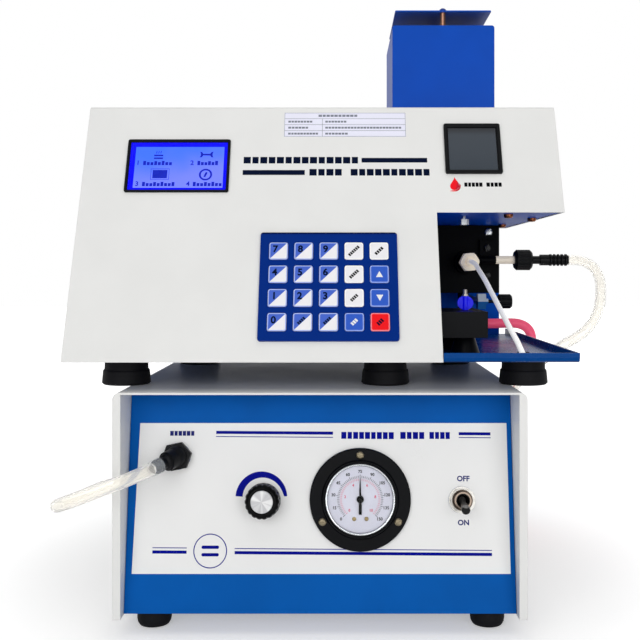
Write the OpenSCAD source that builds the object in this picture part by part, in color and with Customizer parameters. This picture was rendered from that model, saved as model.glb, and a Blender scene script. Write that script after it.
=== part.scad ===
// Flame photometer standing on its air compressor unit.
// Lengths in millimetres, +Z up, the front faces -Y, X runs to the right.
// Depths called "back" are measured from the front edge of the compressor housing.

/* [Compressor unit] */
// Width of the compressor housing
comp_w = 279; // [250:1:340]
// Depth of the compressor housing
comp_d = 280; // [262:1:330]
// Height of the housing, lower edge to top
comp_h = 152.6; // [140:0.2:190]
// Gap between the bench and the housing
comp_clear = 14; // [10:0.5:20]
// Radius of the two upper bends of the housing
comp_bend_r = 5; // [3:0.5:12]
// Width of the folded post at each front edge
post_w = 5.5; // [4:0.5:10]
// Lean of the compressor's front panel, degrees
comp_lean = 9.5; // [0:0.5:14]
// Sheet thickness of both housings
sheet = 1.5; // [1:0.1:2]
// Diameter of the compressor's feet
comp_foot_d = 24; // [18:1:30]

/* [Compressor controls] */
// Diameter of the pressure regulator's knob
knob_d = 24.2; // [18:0.2:34]
// Height of the knob
knob_h = 16; // [12:1:22]
// Number of flutes round the knob
knob_flutes = 18; // [12:1:30]
// Diameter of the gauge's flange
gauge_flange_d = 70; // [68:1:84]
// Diameter of the gauge's glass
gauge_glass_d = 48; // [40:1:50]
// Diameter of the toggle switch's threaded bush
toggle_bush_d = 12.4; // [10:0.2:14]
// Swing of the toggle lever, one end to the other, degrees
toggle_swing = 32; // [20:1:36]
// Width across flats of the air outlet's nut
outlet_nut_af = 18; // [16:1:24]

/* [Photometer] */
// Width of the photometer
photo_w = 354; // [335:1:420]
// Depth of the photometer
photo_d = 285; // [275:1:340]
// Height of the photometer's housing without feet
photo_h = 188; // [180:1:220]
// Lean of the photometer's front panel, degrees
photo_lean = 22.6; // [15:0.1:26]
// Radius of the bend between front panel and top
photo_bend_r = 5; // [2:0.5:10]
// Width of the open burner bay
bay_w = 93; // [88:1:120]
// Height of the burner bay's ceiling above the base
bay_h = 105; // [100:1:120]
// Height of the rim round the tray
tray_rim = 6.5; // [4:0.5:12]
// Height of the rubber feet
foot_h = 19.4; // [14:0.2:26]
// Largest diameter of the rubber feet
foot_d = 35; // [30:0.5:44]

/* [Display, keys and window] */
// Width of the display's frame
lcd_w = 76.7; // [70:0.1:100]
// Height of the display's frame
lcd_h = 44.2; // [38:0.1:60]
// Side of the square keys
key_size = 13.2; // [10:0.1:15]
// Distance between key centres
key_pitch = 17.9; // [16:0.1:20]
// Travel of a key
key_travel = 0.4; // [0.2:0.1:0.8]
// Side of the square frame of the flame window
window_size = 42.3; // [36:0.1:50]

/* [Chimney] */
// Width of the chimney
chimney_w = 88.6; // [70:0.2:100]
// Depth of the chimney
chimney_d = 101; // [80:1:104]
// Height of the chimney above the housing
chimney_h = 88; // [50:1:120]
// Gap between the chimney and its cap
cap_gap = 12.2; // [8:0.2:25]

/* [Burner bay parts] */
// Width across flats of the nebuliser's nut
neb_nut_af = 15.4; // [14:0.2:20]
// Diameter of the connector nut on the air hose
conn_nut_d = 18.4; // [14:0.1:20]
// Diameter of the needle valve's knob
valve_knob_d = 13; // [8:0.2:14]
// Span of the gas tap's winged handle
tap_span = 12; // [10.5:0.5:20]

/* [Hidden] */

// Gap that lets one piece move past another, and a fixed piece slip into its seat
run_gap = 0.3;
seat_gap = 0.2;
fn_big = 96;
fn_mid = 48;
fn_small = 24;

// Colours
off_white = "#e4e4e1";
blue = "#00549b";
deep_blue = "#0048a8";
black = "#151515";
ivory = "#e4d9c3";
steel = "#b9bcc0";
copper = "#b0704a";
key_blue = "#002d8c";

// ---- Levels and depths worked out from the sizes above ----
comp_top = comp_clear + comp_h;
base_z = comp_top + foot_h;
photo_top = base_z + photo_h;
photo_back = 9;
photo_rear = photo_back + photo_d;
gas_tail_l = 20;
gas_tail_flange = 2;
outlet_reach = 1.9;
// Places the object's middle over the origin
front_y = -(photo_rear + gas_tail_l + gas_tail_flange - outlet_reach) / 2;

comp_panel_back = 9;
comp_panel_z = comp_clear + 1;
comp_inner_w = comp_w - 2 * post_w;
comp_chassis_w = comp_inner_w - 2 * run_gap;

bay_left = photo_w / 2 - bay_w;
bay_top = base_z + bay_h;
bay_wall_back = photo_rear - 12;
tray_floor = base_z + sheet;
photo_panel_len = photo_h / cos(photo_lean);
cover_gap = 0.3;

// Inner face of the leaning front panel at height z, as a depth
function inner_front(z) = photo_back + sheet / cos(photo_lean) + (z - base_z) * tan(photo_lean);
// Outer face of the compressor's panel at height z, as a depth
function comp_panel_at(z) = comp_panel_back + (z - comp_panel_z) * tan(comp_lean);

// ---- Places on the compressor's panel: x, then distance up the panel ----
regulator_x = -39.5;
regulator_s = 75.2;
gauge_x = 27.5;
gauge_s = 76;
toggle_x = comp_w / 2 - 41.4;
toggle_s = 75.5;
outlet_x = -comp_w / 2 + 39.4;
outlet_s = 105.2;
outlet_ball_z = 5.5;
outlet_len = 25;
outlet_tilt = [18.3, -32, 0];

// ---- Places on the photometer's panel ----
lcd_x = -photo_w / 2 + 70.2;
lcd_s = photo_panel_len - 51.5;
lcd_border = 2.1;
pad_x = 5.5;
pad_s = 55.9;
pad_w = 4 * key_pitch + key_size + 13;
pad_h = 3 * key_pitch + key_size + 15;
pad_t = 1.9;
key_proud = 0.3;
key_dome_h = 0.6;
key_t = pad_t + key_proud - key_travel - key_dome_h;
key_corner = 1.6;
window_x = photo_w / 2 - 64.2;
window_s = photo_panel_len - 37.1;
window_border = 3;
frame_bevel = 0.8;

// ---- Burner bay ----
chimney_x = bay_left + 19.3;
chimney_back = photo_rear - 8 - chimney_d;
chimney_wall = 1.5;
chimney_top = photo_top + chimney_h;
cap_z = chimney_top + cap_gap;
cap_t = 1.2;
stud_d = 4;
stud_in = 4.5;
burner_x = bay_left + 28;
plate_back = bay_wall_back - 48;
plate_right = bay_left + 76;
plate_low = base_z + 42.6;
neb_x = bay_left + 44.3;
neb_z = base_z + 70.8;
arm_z = neb_z + 1.9;
arm_back = plate_back - 20;
neb_nut_back = arm_back - 16;
arm_black_end = bay_left + 69.5;
conn_start = bay_left + 85.9;
conn_nut_l = 15.8;
conn_neck_l = 7.4;
conn_barb_l = 25.2;
conn_end = conn_start + conn_nut_l + conn_neck_l + conn_barb_l;
drain_back = bay_wall_back - 36;
drain_z = base_z + 13.8;
drain_end = bay_left + 62;
valve_x = bay_left + 52.7;
valve_z = base_z + 35.5;
valve_back = plate_back - 20;
knob_x0 = bay_left + 71;
knob_l = 12.6;
block_w = 35;
block_x = bay_left + 0.8;
block_back = 44;
block_d = 76;
block_z0 = base_z + 14.3;
block_h = 18.8;
tap_x = bay_left + 23.4;
tap_back = 75;

// ---- Routes of the free hoses: x, depth behind the compressor's front edge, height ----
hose_d = 9;
tube_d = 4.1;
air_route = [
    [-113.1, -0.9, 115.15], [-118, -9.3, 114], [-125.8, -20, 112.2], [-137, -26, 108.6],
    [-150.3, -26.5, 103.6], [-162.5, -22, 98.5], [-171.8, -12, 93.9], [-176, 0, 91], [-174.3, 13, 90],
    [-169.5, 26, 90], [-162.2, 44, 91], [-156.8, 63, 90.5], [-153.5, 83, 87], [-152, 103, 79],
    [-152, 121, 67], [-152, 138, 52], [-152, 155, 36], [-152, 173, 21], [-152, 192, 10.5],
    [-152, 213, 5.5], [-151.5, 233, 4.7], [-150, 252, 4.7], [-146, 271, 4.7], [-136, 289, 4.7],
    [-120, 302, 4.7], [-100, 309, 4.7], [-78, 311, 4.7], [-52, 311, 4.7], [-26, 311, 4.7],
    [0, 311, 4.7], [26, 311, 4.7], [52, 311, 4.7], [76, 311, 4.7], [98, 309.5, 4.7],
    [118, 304, 4.7], [135, 293, 4.7], [146, 277, 4.7], [151.5, 259, 4.7], [153, 240, 5.5],
    [153, 224, 10.5], [153, 211, 20], [153, 200.5, 34], [153, 192, 51], [153, 185, 70],
    [153, 179, 90], [153, 173, 109], [153.3, 166.5, 127], [155, 160, 141.5], [159.2, 153.5, 153],
    [166.5, 147.5, 163.2], [176, 142.5, 172.8], [187, 139.5, 181.5], [196.5, 139, 188.5], [206.5, 143, 193],
    [217, 149.5, 199], [227, 159, 208], [234.5, 170, 218.5], [239, 182, 230], [241.5, 194, 241],
    [240, 204.5, 250.6], [234, 210.5, 256.3], [227, 213, 258.4], [conn_end + 0.3, 213.3, 258.7]
];
sample_route = [
    [neb_x, 193.2, neb_z], [128.7, 190.4, 256.7], [129.8, 187, 256], [130.9, 181.5, 254.2],
    [131.3, 172, 251], [131.6, 156, 246.6], [132.4, 138, 240.8], [133.8, 118, 232.3], [135.4, 98, 223.4],
    [137, 77, 214.2], [138.6, 56, 204.9], [140.2, 38, 197], [141.2, 24.5, 190]
];
drain_route = [
    [drain_end + 0.3, 246, 199.9], [158, 246, 200], [168, 246, 200.3], [177, 246, 200.2],
    [183.5, 246, 198.6], [188.5, 246, 195.2], [191.4, 246, 190], [192, 246, 183], [191.4, 246, 174],
    [189, 246.5, 163], [184, 247, 152.5], [176.5, 247.5, 141], [171.5, 248, 128], [169.5, 248.5, 113],
    [169, 249.5, 95], [169.5, 251, 77], [171, 254, 59], [173, 259, 42], [175, 267, 26.5],
    [175.5, 279, 13.5], [175.5, 293, 6.5], [173, 308, 4.7], [166, 321, 4.7], [153, 330, 4.7],
    [137, 335, 4.7], [118, 337, 4.7], [98, 337, 4.7], [78, 336, 4.7], [59, 333, 4.7]
];

// ---- Helpers ----
// Puts children on the compressor's panel: x right, y up the panel, z out of it
module on_comp_front(x, s) {
    translate([x, front_y + comp_panel_back, comp_panel_z])
        rotate([90 - comp_lean, 0, 0])
            translate([0, s, 0]) children();
}

// The same for the photometer's panel
module on_photo_front(x, s) {
    translate([x, front_y + photo_back, base_z])
        rotate([90 - photo_lean, 0, 0])
            translate([0, s, 0]) children();
}

// A block from its low corner, with y given as a depth behind the compressor's front edge
module block_at(x, back, z, size) {
    translate([x, front_y + back, z]) cube(size);
}

// A cylinder that runs towards the viewer from a depth
module rod_to_front(x, back, z, d, l, fn = fn_mid) {
    translate([x, front_y + back, z]) rotate([90, 0, 0]) cylinder(d = d, h = l, $fn = fn);
}

// A cylinder that runs to the right
module rod_to_right(x, back, z, d, l, fn = fn_mid) {
    translate([x, front_y + back, z]) rotate([0, 90, 0]) cylinder(d = d, h = l, $fn = fn);
}

// A YZ outline, given as depth and height, drawn out along X
module side_profile(points, x, w) {
    translate([x, front_y, 0]) rotate([90, 0, 90]) linear_extrude(w) polygon(points);
}

// A rectangle with round corners, centred
module rounded_plate(w, h, t, r) {
    linear_extrude(t) {
        square([w - 2 * r, h], center = true);
        square([w, h - 2 * r], center = true);
        for (sx = [-1, 1], sy = [-1, 1])
            translate([sx * (w / 2 - r), sy * (h / 2 - r)]) circle(r = r, $fn = fn_mid);
    }
}

// A flat ring
module ring(d_out, d_in, h, fn = fn_big) {
    difference() {
        cylinder(d = d_out, h = h, $fn = fn);
        translate([0, 0, -1]) cylinder(d = d_in, h = h + 2, $fn = fn);
    }
}

// A hexagonal nut with its edges turned off
module hex_nut(af, h, bore) {
    across_corners = af / cos(30);
    difference() {
        intersection() {
            cylinder(d = across_corners, h = h, $fn = 6);
            cylinder(d1 = across_corners + 2 * h, d2 = across_corners - 0.08 * af, h = h, $fn = fn_mid);
        }
        translate([0, 0, -1]) cylinder(d = bore, h = h + 2, $fn = fn_mid);
    }
}

// A pan head with a slot, standing on z = 0
module screw_head(d, h) {
    difference() {
        rotate_extrude($fn = fn_small)
            polygon([[0, 0], [d / 2, 0], [d / 2, h * 0.55], [d * 0.36, h * 0.9], [0, h]]);
        translate([-d, -d * 0.08, h * 0.55]) cube([2 * d, d * 0.16, h]);
    }
}

function unit(v) = v / norm(v);
function tangents(p) = [
    for (i = [0 : len(p) - 1])
        i == 0 ? unit(p[1] - p[0])
        : i == len(p) - 1 ? unit(p[i] - p[i - 1])
        : unit(unit(p[i + 1] - p[i]) + unit(p[i] - p[i - 1]))
];
// A normal carried from point to point, so that the tube doesn't twist
function normals(t, i = 0, last = [0, 0, 1], done = []) =
    i == len(t) ? done
    : let (n = unit(last - (last * t[i]) * t[i])) normals(t, i + 1, n, concat(done, [n]));

// A round tube along a route, closed at both ends
module swept_tube(route, d, sides) {
    p = [for (q = route) [q[0], q[1] + front_y, q[2]]];
    t = tangents(p);
    n = normals(t);
    points = [
        for (i = [0 : len(p) - 1], k = [0 : sides - 1])
            p[i] + d / 2 * (cos(360 * k / sides) * n[i] + sin(360 * k / sides) * cross(t[i], n[i]))
    ];
    last = (len(p) - 1) * sides;
    walls = [
        for (i = [0 : len(p) - 2], k = [0 : sides - 1])
            let (a = i * sides + k, b = i * sides + (k + 1) % sides)
                each [[a, a + sides, b + sides], [a, b + sides, b]]
    ];
    start_cap = [for (k = [1 : sides - 2]) [0, k, k + 1]];
    end_cap = [for (k = [1 : sides - 2]) [last, last + k + 1, last + k]];
    polyhedron(points, concat(walls, start_cap, end_cap));
}

// ---- Compressor unit ----
// Front, floor and back in one bent sheet
module compressor_chassis() {
    wall_h = comp_top - sheet - run_gap - comp_panel_z;
    rear = comp_d - 2;
    front_top = comp_panel_at(comp_panel_z + wall_h);
    out = sheet / cos(comp_lean);
    vent_w = 3;
    vent_h = 46;
    vent_pitch = 8;
    color(blue) difference() {
        side_profile([
            [comp_panel_back, comp_panel_z], [front_top, comp_panel_z + wall_h],
            [front_top + out, comp_panel_z + wall_h],
            [comp_panel_back + out + sheet * tan(comp_lean), comp_panel_z + sheet],
            [rear - sheet, comp_panel_z + sheet], [rear - sheet, comp_panel_z + wall_h],
            [rear, comp_panel_z + wall_h], [rear, comp_panel_z]
        ], -comp_chassis_w / 2, comp_chassis_w);
        on_comp_front(regulator_x, regulator_s) translate([0, 0, -9])
            cylinder(d = regulator_bush_d + 2 * seat_gap, h = 18, $fn = fn_mid);
        on_comp_front(gauge_x, gauge_s) translate([0, 0, -9])
            cylinder(d = gauge_case_d + 2 * seat_gap, h = 18, $fn = fn_big);
        on_comp_front(toggle_x, toggle_s) translate([0, 0, -9])
            cylinder(d = toggle_bush_d + 2 * seat_gap, h = 18, $fn = fn_mid);
        on_comp_front(outlet_x, outlet_s) translate([0, 0, -9])
            cylinder(d = outlet_thread_d + 2 * seat_gap, h = 18, $fn = fn_mid);
        for (i = [-5 : 5])
            block_at(40 + i * vent_pitch, rear - 5, comp_panel_z + 60, [vent_w, 10, vent_h]);
        block_at(inlet_x - inlet_w / 2, rear - 5, comp_inlet_z - inlet_h / 2, [inlet_w, 10, inlet_h]);
    }
}

// The bend-to-bend outline of the housing, outer size w by h, standing on z = 0
module shell_outline(w, h, r) {
    translate([-w / 2, 0]) square([w, h - r]);
    translate([-w / 2 + r, 0]) square([w - 2 * r, h]);
    for (s = [-1, 1]) translate([s * (w / 2 - r), h - r]) circle(r = r, $fn = fn_big);
}

// Inverted U of sheet with a boxed post down each front edge
module compressor_shell() {
    post_d = 46;
    color(off_white) union() {
        translate([0, front_y, comp_clear]) rotate([90, 0, 0]) mirror([0, 0, 1])
            linear_extrude(comp_d) difference() {
                shell_outline(comp_w, comp_h, comp_bend_r);
                translate([0, -1]) shell_outline(comp_w - 2 * sheet, comp_h - sheet + 1,
                    comp_bend_r - sheet);
            }
        for (s = [-1, 1]) {
            x_in = s * comp_inner_w / 2;
            translate([0, front_y, comp_clear]) rotate([90, 0, 0]) mirror([0, 0, 1])
                linear_extrude(sheet) intersection() {
                    shell_outline(comp_w, comp_h, comp_bend_r);
                    translate([min(x_in, s * comp_w / 2), 0]) square([post_w, comp_h]);
                }
            block_at(min(x_in, x_in + s * sheet), 0, comp_clear,
                [sheet, post_d, comp_h - 0.5 * sheet]);
        }
    }
}

comp_foot_x = comp_w / 2 - 22.5;
comp_foot_backs = [31, comp_d - 32];

module compressor_feet() {
    foot_top = comp_panel_z;
    waist = comp_foot_d - 4;
    color(black) for (s = [-1, 1], back = comp_foot_backs)
        translate([s * comp_foot_x, front_y + back, 0])
            rotate_extrude($fn = fn_big) polygon([
                [0, 0], [comp_foot_d / 2 - 5, 0], [comp_foot_d / 2 - 1.6, 1.2],
                [comp_foot_d / 2 - 0.4, 3.2], [comp_foot_d / 2, 5.5],
                [comp_foot_d / 2, foot_top], [0, foot_top]
            ]);
}

regulator_bush_d = 10;
regulator_shaft_d = 6;
knob_lift = 1.6;

// Diaphragm regulator behind the panel, its bush nut in front
module regulator() {
    body_d = 38;
    body_h = 30;
    color(steel) on_comp_front(regulator_x, regulator_s) difference() {
        union() {
            translate([0, 0, -sheet - body_h]) cylinder(d = body_d, h = body_h, $fn = fn_big);
            translate([0, 0, -sheet - body_h - 14]) cylinder(d = 16, h = 14, $fn = fn_mid);
            translate([0, 0, -sheet]) cylinder(d = regulator_bush_d, h = sheet, $fn = fn_mid);
            cylinder(d = 14, h = knob_lift - run_gap, $fn = 6);
            cylinder(d = regulator_shaft_d, h = knob_h - 5, $fn = fn_mid);
        }
        for (a = [0 : 60 : 300]) rotate(a) translate([body_d / 2, 0, -sheet - body_h - 1])
            cylinder(d = 4, h = body_h - 3, $fn = fn_small);
    }
}

// Fluted knob with a spun metal cap let into its face
module regulator_knob() {
    cap_d = 15;
    flute_d = 2.6;
    color(black) on_comp_front(regulator_x, regulator_s) translate([0, 0, knob_lift]) difference() {
        rotate_extrude($fn = fn_big) polygon([
            [0, 0], [knob_d / 2 - 0.3, 0], [knob_d / 2, 0.6], [knob_d / 2 - 0.4, knob_h - 2.6],
            [knob_d / 2 - 1.2, knob_h - 0.9], [cap_d / 2 + 1.4, knob_h], [cap_d / 2 + 0.4, knob_h - 0.5],
            [cap_d / 2, knob_h - 0.5], [cap_d / 2 - 0.3, knob_h + 0.1], [0, knob_h + 0.3]
        ]);
        for (i = [0 : knob_flutes - 1]) rotate(i * 360 / knob_flutes)
            translate([knob_d / 2 + 0.45, 0, 1.6]) cylinder(d = flute_d, h = knob_h, $fn = fn_small);
        translate([0, 0, -1]) cylinder(d = regulator_shaft_d + 0.1, h = knob_h - 4.6 + 1, $fn = fn_mid);
        translate([0, 0, -1]) cylinder(d = 17, h = 2.2, $fn = fn_mid);
    }
}

gauge_case_d = gauge_glass_d + 4;
gauge_rim_h = 5.6;
gauge_flange_t = 3;
dial_z = 0.4;
dial_t = 0.8;

// Flanged gauge case, open at the front, with its brass stem behind
module gauge_case() {
    case_depth = 26;
    bore = gauge_glass_d + 2 * seat_gap;
    color(black) on_comp_front(gauge_x, gauge_s) difference() {
        union() {
            rotate_extrude($fn = fn_big) polygon([
                [0, 0], [gauge_flange_d / 2, 0], [gauge_flange_d / 2, gauge_flange_t - 0.8],
                [gauge_flange_d / 2 - 0.8, gauge_flange_t], [gauge_case_d / 2 + 1, gauge_flange_t],
                [gauge_case_d / 2, gauge_flange_t + 1], [gauge_case_d / 2 - 0.3, gauge_rim_h],
                [0, gauge_rim_h]
            ]);
            translate([0, 0, -case_depth]) cylinder(d = gauge_case_d, h = case_depth, $fn = fn_big);
            translate([0, 0, -case_depth - 16]) cylinder(d = 12, h = 16, $fn = 6);
        }
        translate([0, 0, dial_z]) cylinder(d = bore, h = gauge_rim_h, $fn = fn_big);
        translate([0, 0, -case_depth + 3]) cylinder(d = bore - 5, h = case_depth, $fn = fn_big);
    }
}

module gauge_dial() {
    color("white") on_comp_front(gauge_x, gauge_s) translate([0, 0, dial_z])
        difference() {
            cylinder(d = gauge_glass_d, h = dial_t, $fn = fn_big);
            translate([0, 0, -1]) cylinder(d = pointer_shaft_d + 0.1, h = 3, $fn = fn_small);
        }
}

pointer_shaft_d = 1.6;
pointer_hub_d = 5;

// Needle with a counterweight tail on its own short shaft
module gauge_pointer() {
    tip = 14.6;
    tail = 10.3;
    color(black) on_comp_front(gauge_x, gauge_s) translate([0, 0, dial_z + dial_t + 0.6]) {
        linear_extrude(0.5) polygon([
            [-0.75, 0], [-0.2, tip], [0.2, tip], [0.75, 0], [1, -4], [1, -tail], [-1, -tail], [-1, -4]
        ]);
        cylinder(d = pointer_hub_d, h = 1.2, $fn = fn_mid);
        translate([0, 0, -3.2]) cylinder(d = pointer_shaft_d, h = 3.4, $fn = fn_small);
    }
}

module gauge_glass() {
    color("#cfe3ee", 0.4) on_comp_front(gauge_x, gauge_s) translate([0, 0, gauge_rim_h - 1.4])
        cylinder(d = gauge_glass_d, h = 1, $fn = fn_big);
}

toggle_bush_h = 7;
toggle_nut_h = 2.2;
toggle_pivot = 2;

// Switch body behind the panel, threaded bush, lock ring and hex nut in front
module toggle_switch() {
    body = [13, 26, 24];
    color(steel) on_comp_front(toggle_x, toggle_s) {
        difference() {
            union() {
                translate([-body[0] / 2, -body[1] / 2, -sheet - body[2]]) cube(body);
                translate([0, 0, -sheet]) cylinder(d = toggle_bush_d, h = sheet + toggle_bush_h,
                    $fn = fn_mid);
            }
            translate([0, 0, toggle_pivot]) cylinder(d1 = 6, d2 = 9.8, h = toggle_bush_h, $fn = fn_mid);
            translate([0, 0, toggle_pivot]) sphere(d = 6.6, $fn = fn_mid);
        }
        ring(18.5, toggle_bush_d + 2 * seat_gap, 0.8, fn_mid);
        translate([0, 0, 0.8]) hex_nut(14.6, toggle_nut_h, toggle_bush_d + 2 * seat_gap);
    }
}

// Bat-shaped lever, down in its ON place
module toggle_lever() {
    lever_l = 20.5;
    color(steel) on_comp_front(toggle_x, toggle_s) translate([0, 0, toggle_pivot])
        rotate([toggle_swing / 2, 0, 0]) rotate_extrude($fn = fn_mid) polygon([
            [0, -2.6], [1.8, -1.9], [2.6, 0], [1.8, 1.9], [1.6, 5], [2.4, 12], [3.05, lever_l - 3],
            [2.9, lever_l - 0.8], [2.3, lever_l - 0.1], [0, lever_l]
        ]);
}

outlet_thread_d = 12;

// Bulkhead nut, ball collar and a ribbed tail that points left and down
module air_outlet() {
    color(black) on_comp_front(outlet_x, outlet_s) {
        translate([0, 0, -sheet - 12]) cylinder(d = outlet_thread_d, h = sheet + 12.5, $fn = fn_mid);
        rotate(12) hex_nut(outlet_nut_af, 6, 1);
        translate([0, 0, outlet_ball_z]) {
            sphere(d = 15, $fn = fn_mid);
            rotate(outlet_tilt) {
                cylinder(d = 13.4, h = 10, $fn = fn_mid);
                rotate_extrude($fn = fn_mid) polygon([
                    [0, 9], [6, 9], [5.2, 11.5], [3.9, 12.5], [3.9, 15.2], [4.9, 16.2], [4.9, 17.6],
                    [4, 18.2], [4, 18.8], [4.8, 19.6], [4.8, 20.8], [3.8, 21.4], [3.8, 22.2],
                    [3.2, outlet_len], [0, outlet_len]
                ]);
            }
        }
    }
}

// Twin-head diaphragm pump on four rubber mounts, on the chassis floor
module air_pump() {
    floor_z = comp_panel_z + sheet;
    mount_h = 14;
    base_t = 4;
    base = [170, 110];
    centre_back = comp_d / 2 + 25;
    motor_d = 84;
    motor_l = 86;
    head_w = 34;
    motor_z = floor_z + mount_h + base_t + motor_d / 2 - 2;
    color("#55585c") translate([0, front_y + centre_back, 0]) {
        for (sx = [-1, 1], sy = [-1, 1])
            translate([sx * (base[0] / 2 - 12), sy * (base[1] / 2 - 12), floor_z])
                cylinder(d1 = 18, d2 = 14, h = mount_h, $fn = fn_mid);
        translate([-base[0] / 2, -base[1] / 2, floor_z + mount_h]) cube([base[0], base[1], base_t]);
        translate([-motor_l / 2, 0, motor_z]) rotate([0, 90, 0])
            difference() {
                cylinder(d = motor_d, h = motor_l, $fn = fn_big);
                for (a = [0 : 15 : 345]) rotate(a) translate([motor_d / 2, 0, 8])
                    cylinder(d = 4, h = motor_l - 16, $fn = fn_small);
            }
        for (s = [-1, 1])
            translate([s * (motor_l / 2 + head_w / 2) - head_w / 2, -30, floor_z + mount_h + base_t])
                difference() {
                    cube([head_w, 60, 84]);
                    for (k = [1 : 6]) translate([-1, -1, 84 - 7 * k]) cube([head_w + 2, 16, 3]);
                }
    }
}

// ---- Photometer ----
// Floor of the instrument, which widens into the drip tray of the burner bay
module base_tray() {
    inner_x = -photo_w / 2 + sheet + cover_gap;
    rear = photo_rear - sheet - cover_gap;
    front_in = inner_front(tray_floor) + cover_gap;
    lip_r = 3;
    color(blue) difference() {
        union() {
            block_at(inner_x, front_in, base_z, [bay_left - inner_x + 1, rear - front_in, sheet]);
            difference() {
                side_profile([
                    [photo_back, base_z + lip_r], [photo_back + 0.9, base_z + 0.9],
                    [photo_back + lip_r, base_z], [rear, base_z], [rear, base_z + tray_rim],
                    [photo_back, base_z + tray_rim]
                ], bay_left + cover_gap, bay_w - cover_gap);
                block_at(bay_left - 5, photo_back + sheet, tray_floor,
                    [bay_w + 5 - sheet, photo_d, tray_rim + 1]);
                translate([photo_w / 2, front_y + photo_back - 1, base_z])
                    rotate([0, 45, 0]) cube([3.4, photo_d + 10, 3.4], center = false);
            }
        }
        for (p = foot_places) translate([p[0], front_y + p[1], base_z - 1])
            cylinder(d = foot_screw_d + 2 * seat_gap, h = sheet + 2, $fn = fn_small);
        block_at(-140, 120, base_z - 1, [60, 4, sheet + 2]);
        for (k = [0 : 7]) block_at(-150 + k * 12, 130, base_z - 1, [4, 60, sheet + 2]);
    }
}

foot_screw_d = 5;
foot_left = -min(photo_w / 2 - 35, comp_w / 2 + 2.5);
foot_right = min(photo_w / 2 - 30, comp_w / 2 + 7.5);
foot_rear = min(photo_w / 2, comp_w / 2) - 27.5;
foot_front_back = 54;
foot_rear_back = min(photo_d, comp_d) - 71;
foot_places = [
    [foot_left, foot_front_back], [(foot_left + foot_right) / 2 + 44, foot_front_back],
    [foot_right, foot_front_back], [-foot_rear, foot_rear_back], [foot_rear, foot_rear_back]
];

// Two-step rubber feet with the screw that holds each
module photometer_feet() {
    color(black) for (p = foot_places) translate([p[0], front_y + p[1], comp_top]) {
        rotate_extrude($fn = fn_big) polygon([
            [0, 0], [foot_d / 2 - 1.2, 0], [foot_d / 2, 1.2], [foot_d / 2 - 0.8, foot_h * 0.5],
            [foot_d / 2 - 1.2, foot_h * 0.54], [foot_d / 2 - 1.8, foot_h * 0.54],
            [foot_d / 2 - 2.1, foot_h], [0, foot_h]
        ]);
        translate([0, 0, foot_h]) cylinder(d = foot_screw_d, h = sheet, $fn = fn_small);
        translate([0, 0, foot_h + sheet]) cylinder(d = 9, h = 2, $fn = 6);
    }
}

// Points of a round bend at corner b between a and c, in n steps
function bend(a, b, c, r, n) =
    let (
        u = unit(a - b), v = unit(c - b), half = acos(u * v) / 2,
        centre = b + unit(u + v) * r / sin(half),
        from = b + u * r / tan(half) - centre, to = b + v * r / tan(half) - centre,
        a0 = atan2(from[1], from[0]), turn = atan2(to[1], to[0]) - a0,
        sweep = turn > 180 ? turn - 360 : turn < -180 ? turn + 360 : turn
    )
    [for (i = [0 : n]) centre + r * [cos(a0 + sweep * i / n), sin(a0 + sweep * i / n)]];

// Front, top and both sides in one folded sheet
module main_cover() {
    run = photo_h * tan(photo_lean);
    low = [photo_back, base_z];
    corner = [photo_back + run, photo_top];
    rear_top = [photo_rear, photo_top];
    out = sheet / cos(photo_lean);
    in_low = [photo_back + out - tan(photo_lean), base_z - 1];
    in_corner = [photo_back + out + (photo_h - sheet) * tan(photo_lean), photo_top - sheet];
    in_rear = [photo_rear + 1, photo_top - sheet];
    color(off_white) difference() {
        side_profile(concat([low], bend(low, corner, rear_top, photo_bend_r, 8),
            [rear_top, [photo_rear, base_z]]), -photo_w / 2, photo_w);
        side_profile(concat([in_low], bend(in_low, in_corner, in_rear, photo_bend_r - sheet, 8),
            [in_rear, [photo_rear + 1, base_z - 1]]), -photo_w / 2 + sheet, photo_w - 2 * sheet);
        block_at(bay_left, photo_back - 5, base_z - 1, [bay_w + 1, photo_d + 10, bay_h + 1]);
        on_photo_front(lcd_x, lcd_s) translate([0, 0, -3])
            rounded_plate(lcd_w - 2 * lcd_border, lcd_h - 2 * lcd_border, 6, 0.6);
        on_photo_front(window_x, window_s) translate([0, 0, -3])
            rounded_plate(window_size - 2 * window_border, window_size - 2 * window_border, 6, 0.6);
        block_at(chimney_x - chimney_w / 2 - 0.4, chimney_back - 0.4, photo_top - 3,
            [chimney_w + 0.8, chimney_d + 0.8, 6]);
        for (s = [-1, 1], k = [0 : 5])
            translate([s * photo_w / 2, front_y + 205 + 10 * k, base_z + 150])
                cube([8, 4, 34], center = true);
    }
}

module rear_panel() {
    w = photo_w - 2 * (sheet + cover_gap);
    h = photo_h - sheet - cover_gap - 1;
    color(off_white) difference() {
        block_at(-w / 2, photo_rear - sheet, base_z + 1, [w, sheet, h]);
        block_at(bay_right, photo_rear - 5, base_z, [bay_w, 10, bay_h]);
        block_at(inlet_x - inlet_w / 2, photo_rear - 5, photo_inlet_z - inlet_h / 2,
            [inlet_w, 10, inlet_h]);
        rod_to_front(gas_tail_x, photo_rear + 5, gas_tail_z, gas_tail_thread + 2 * seat_gap, 10);
        for (k = [0 : 9]) block_at(-60 + 9 * k, photo_rear - 5, base_z + 120, [3, 10, 40]);
    }
}

bay_right = photo_w / 2 - 9;

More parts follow.
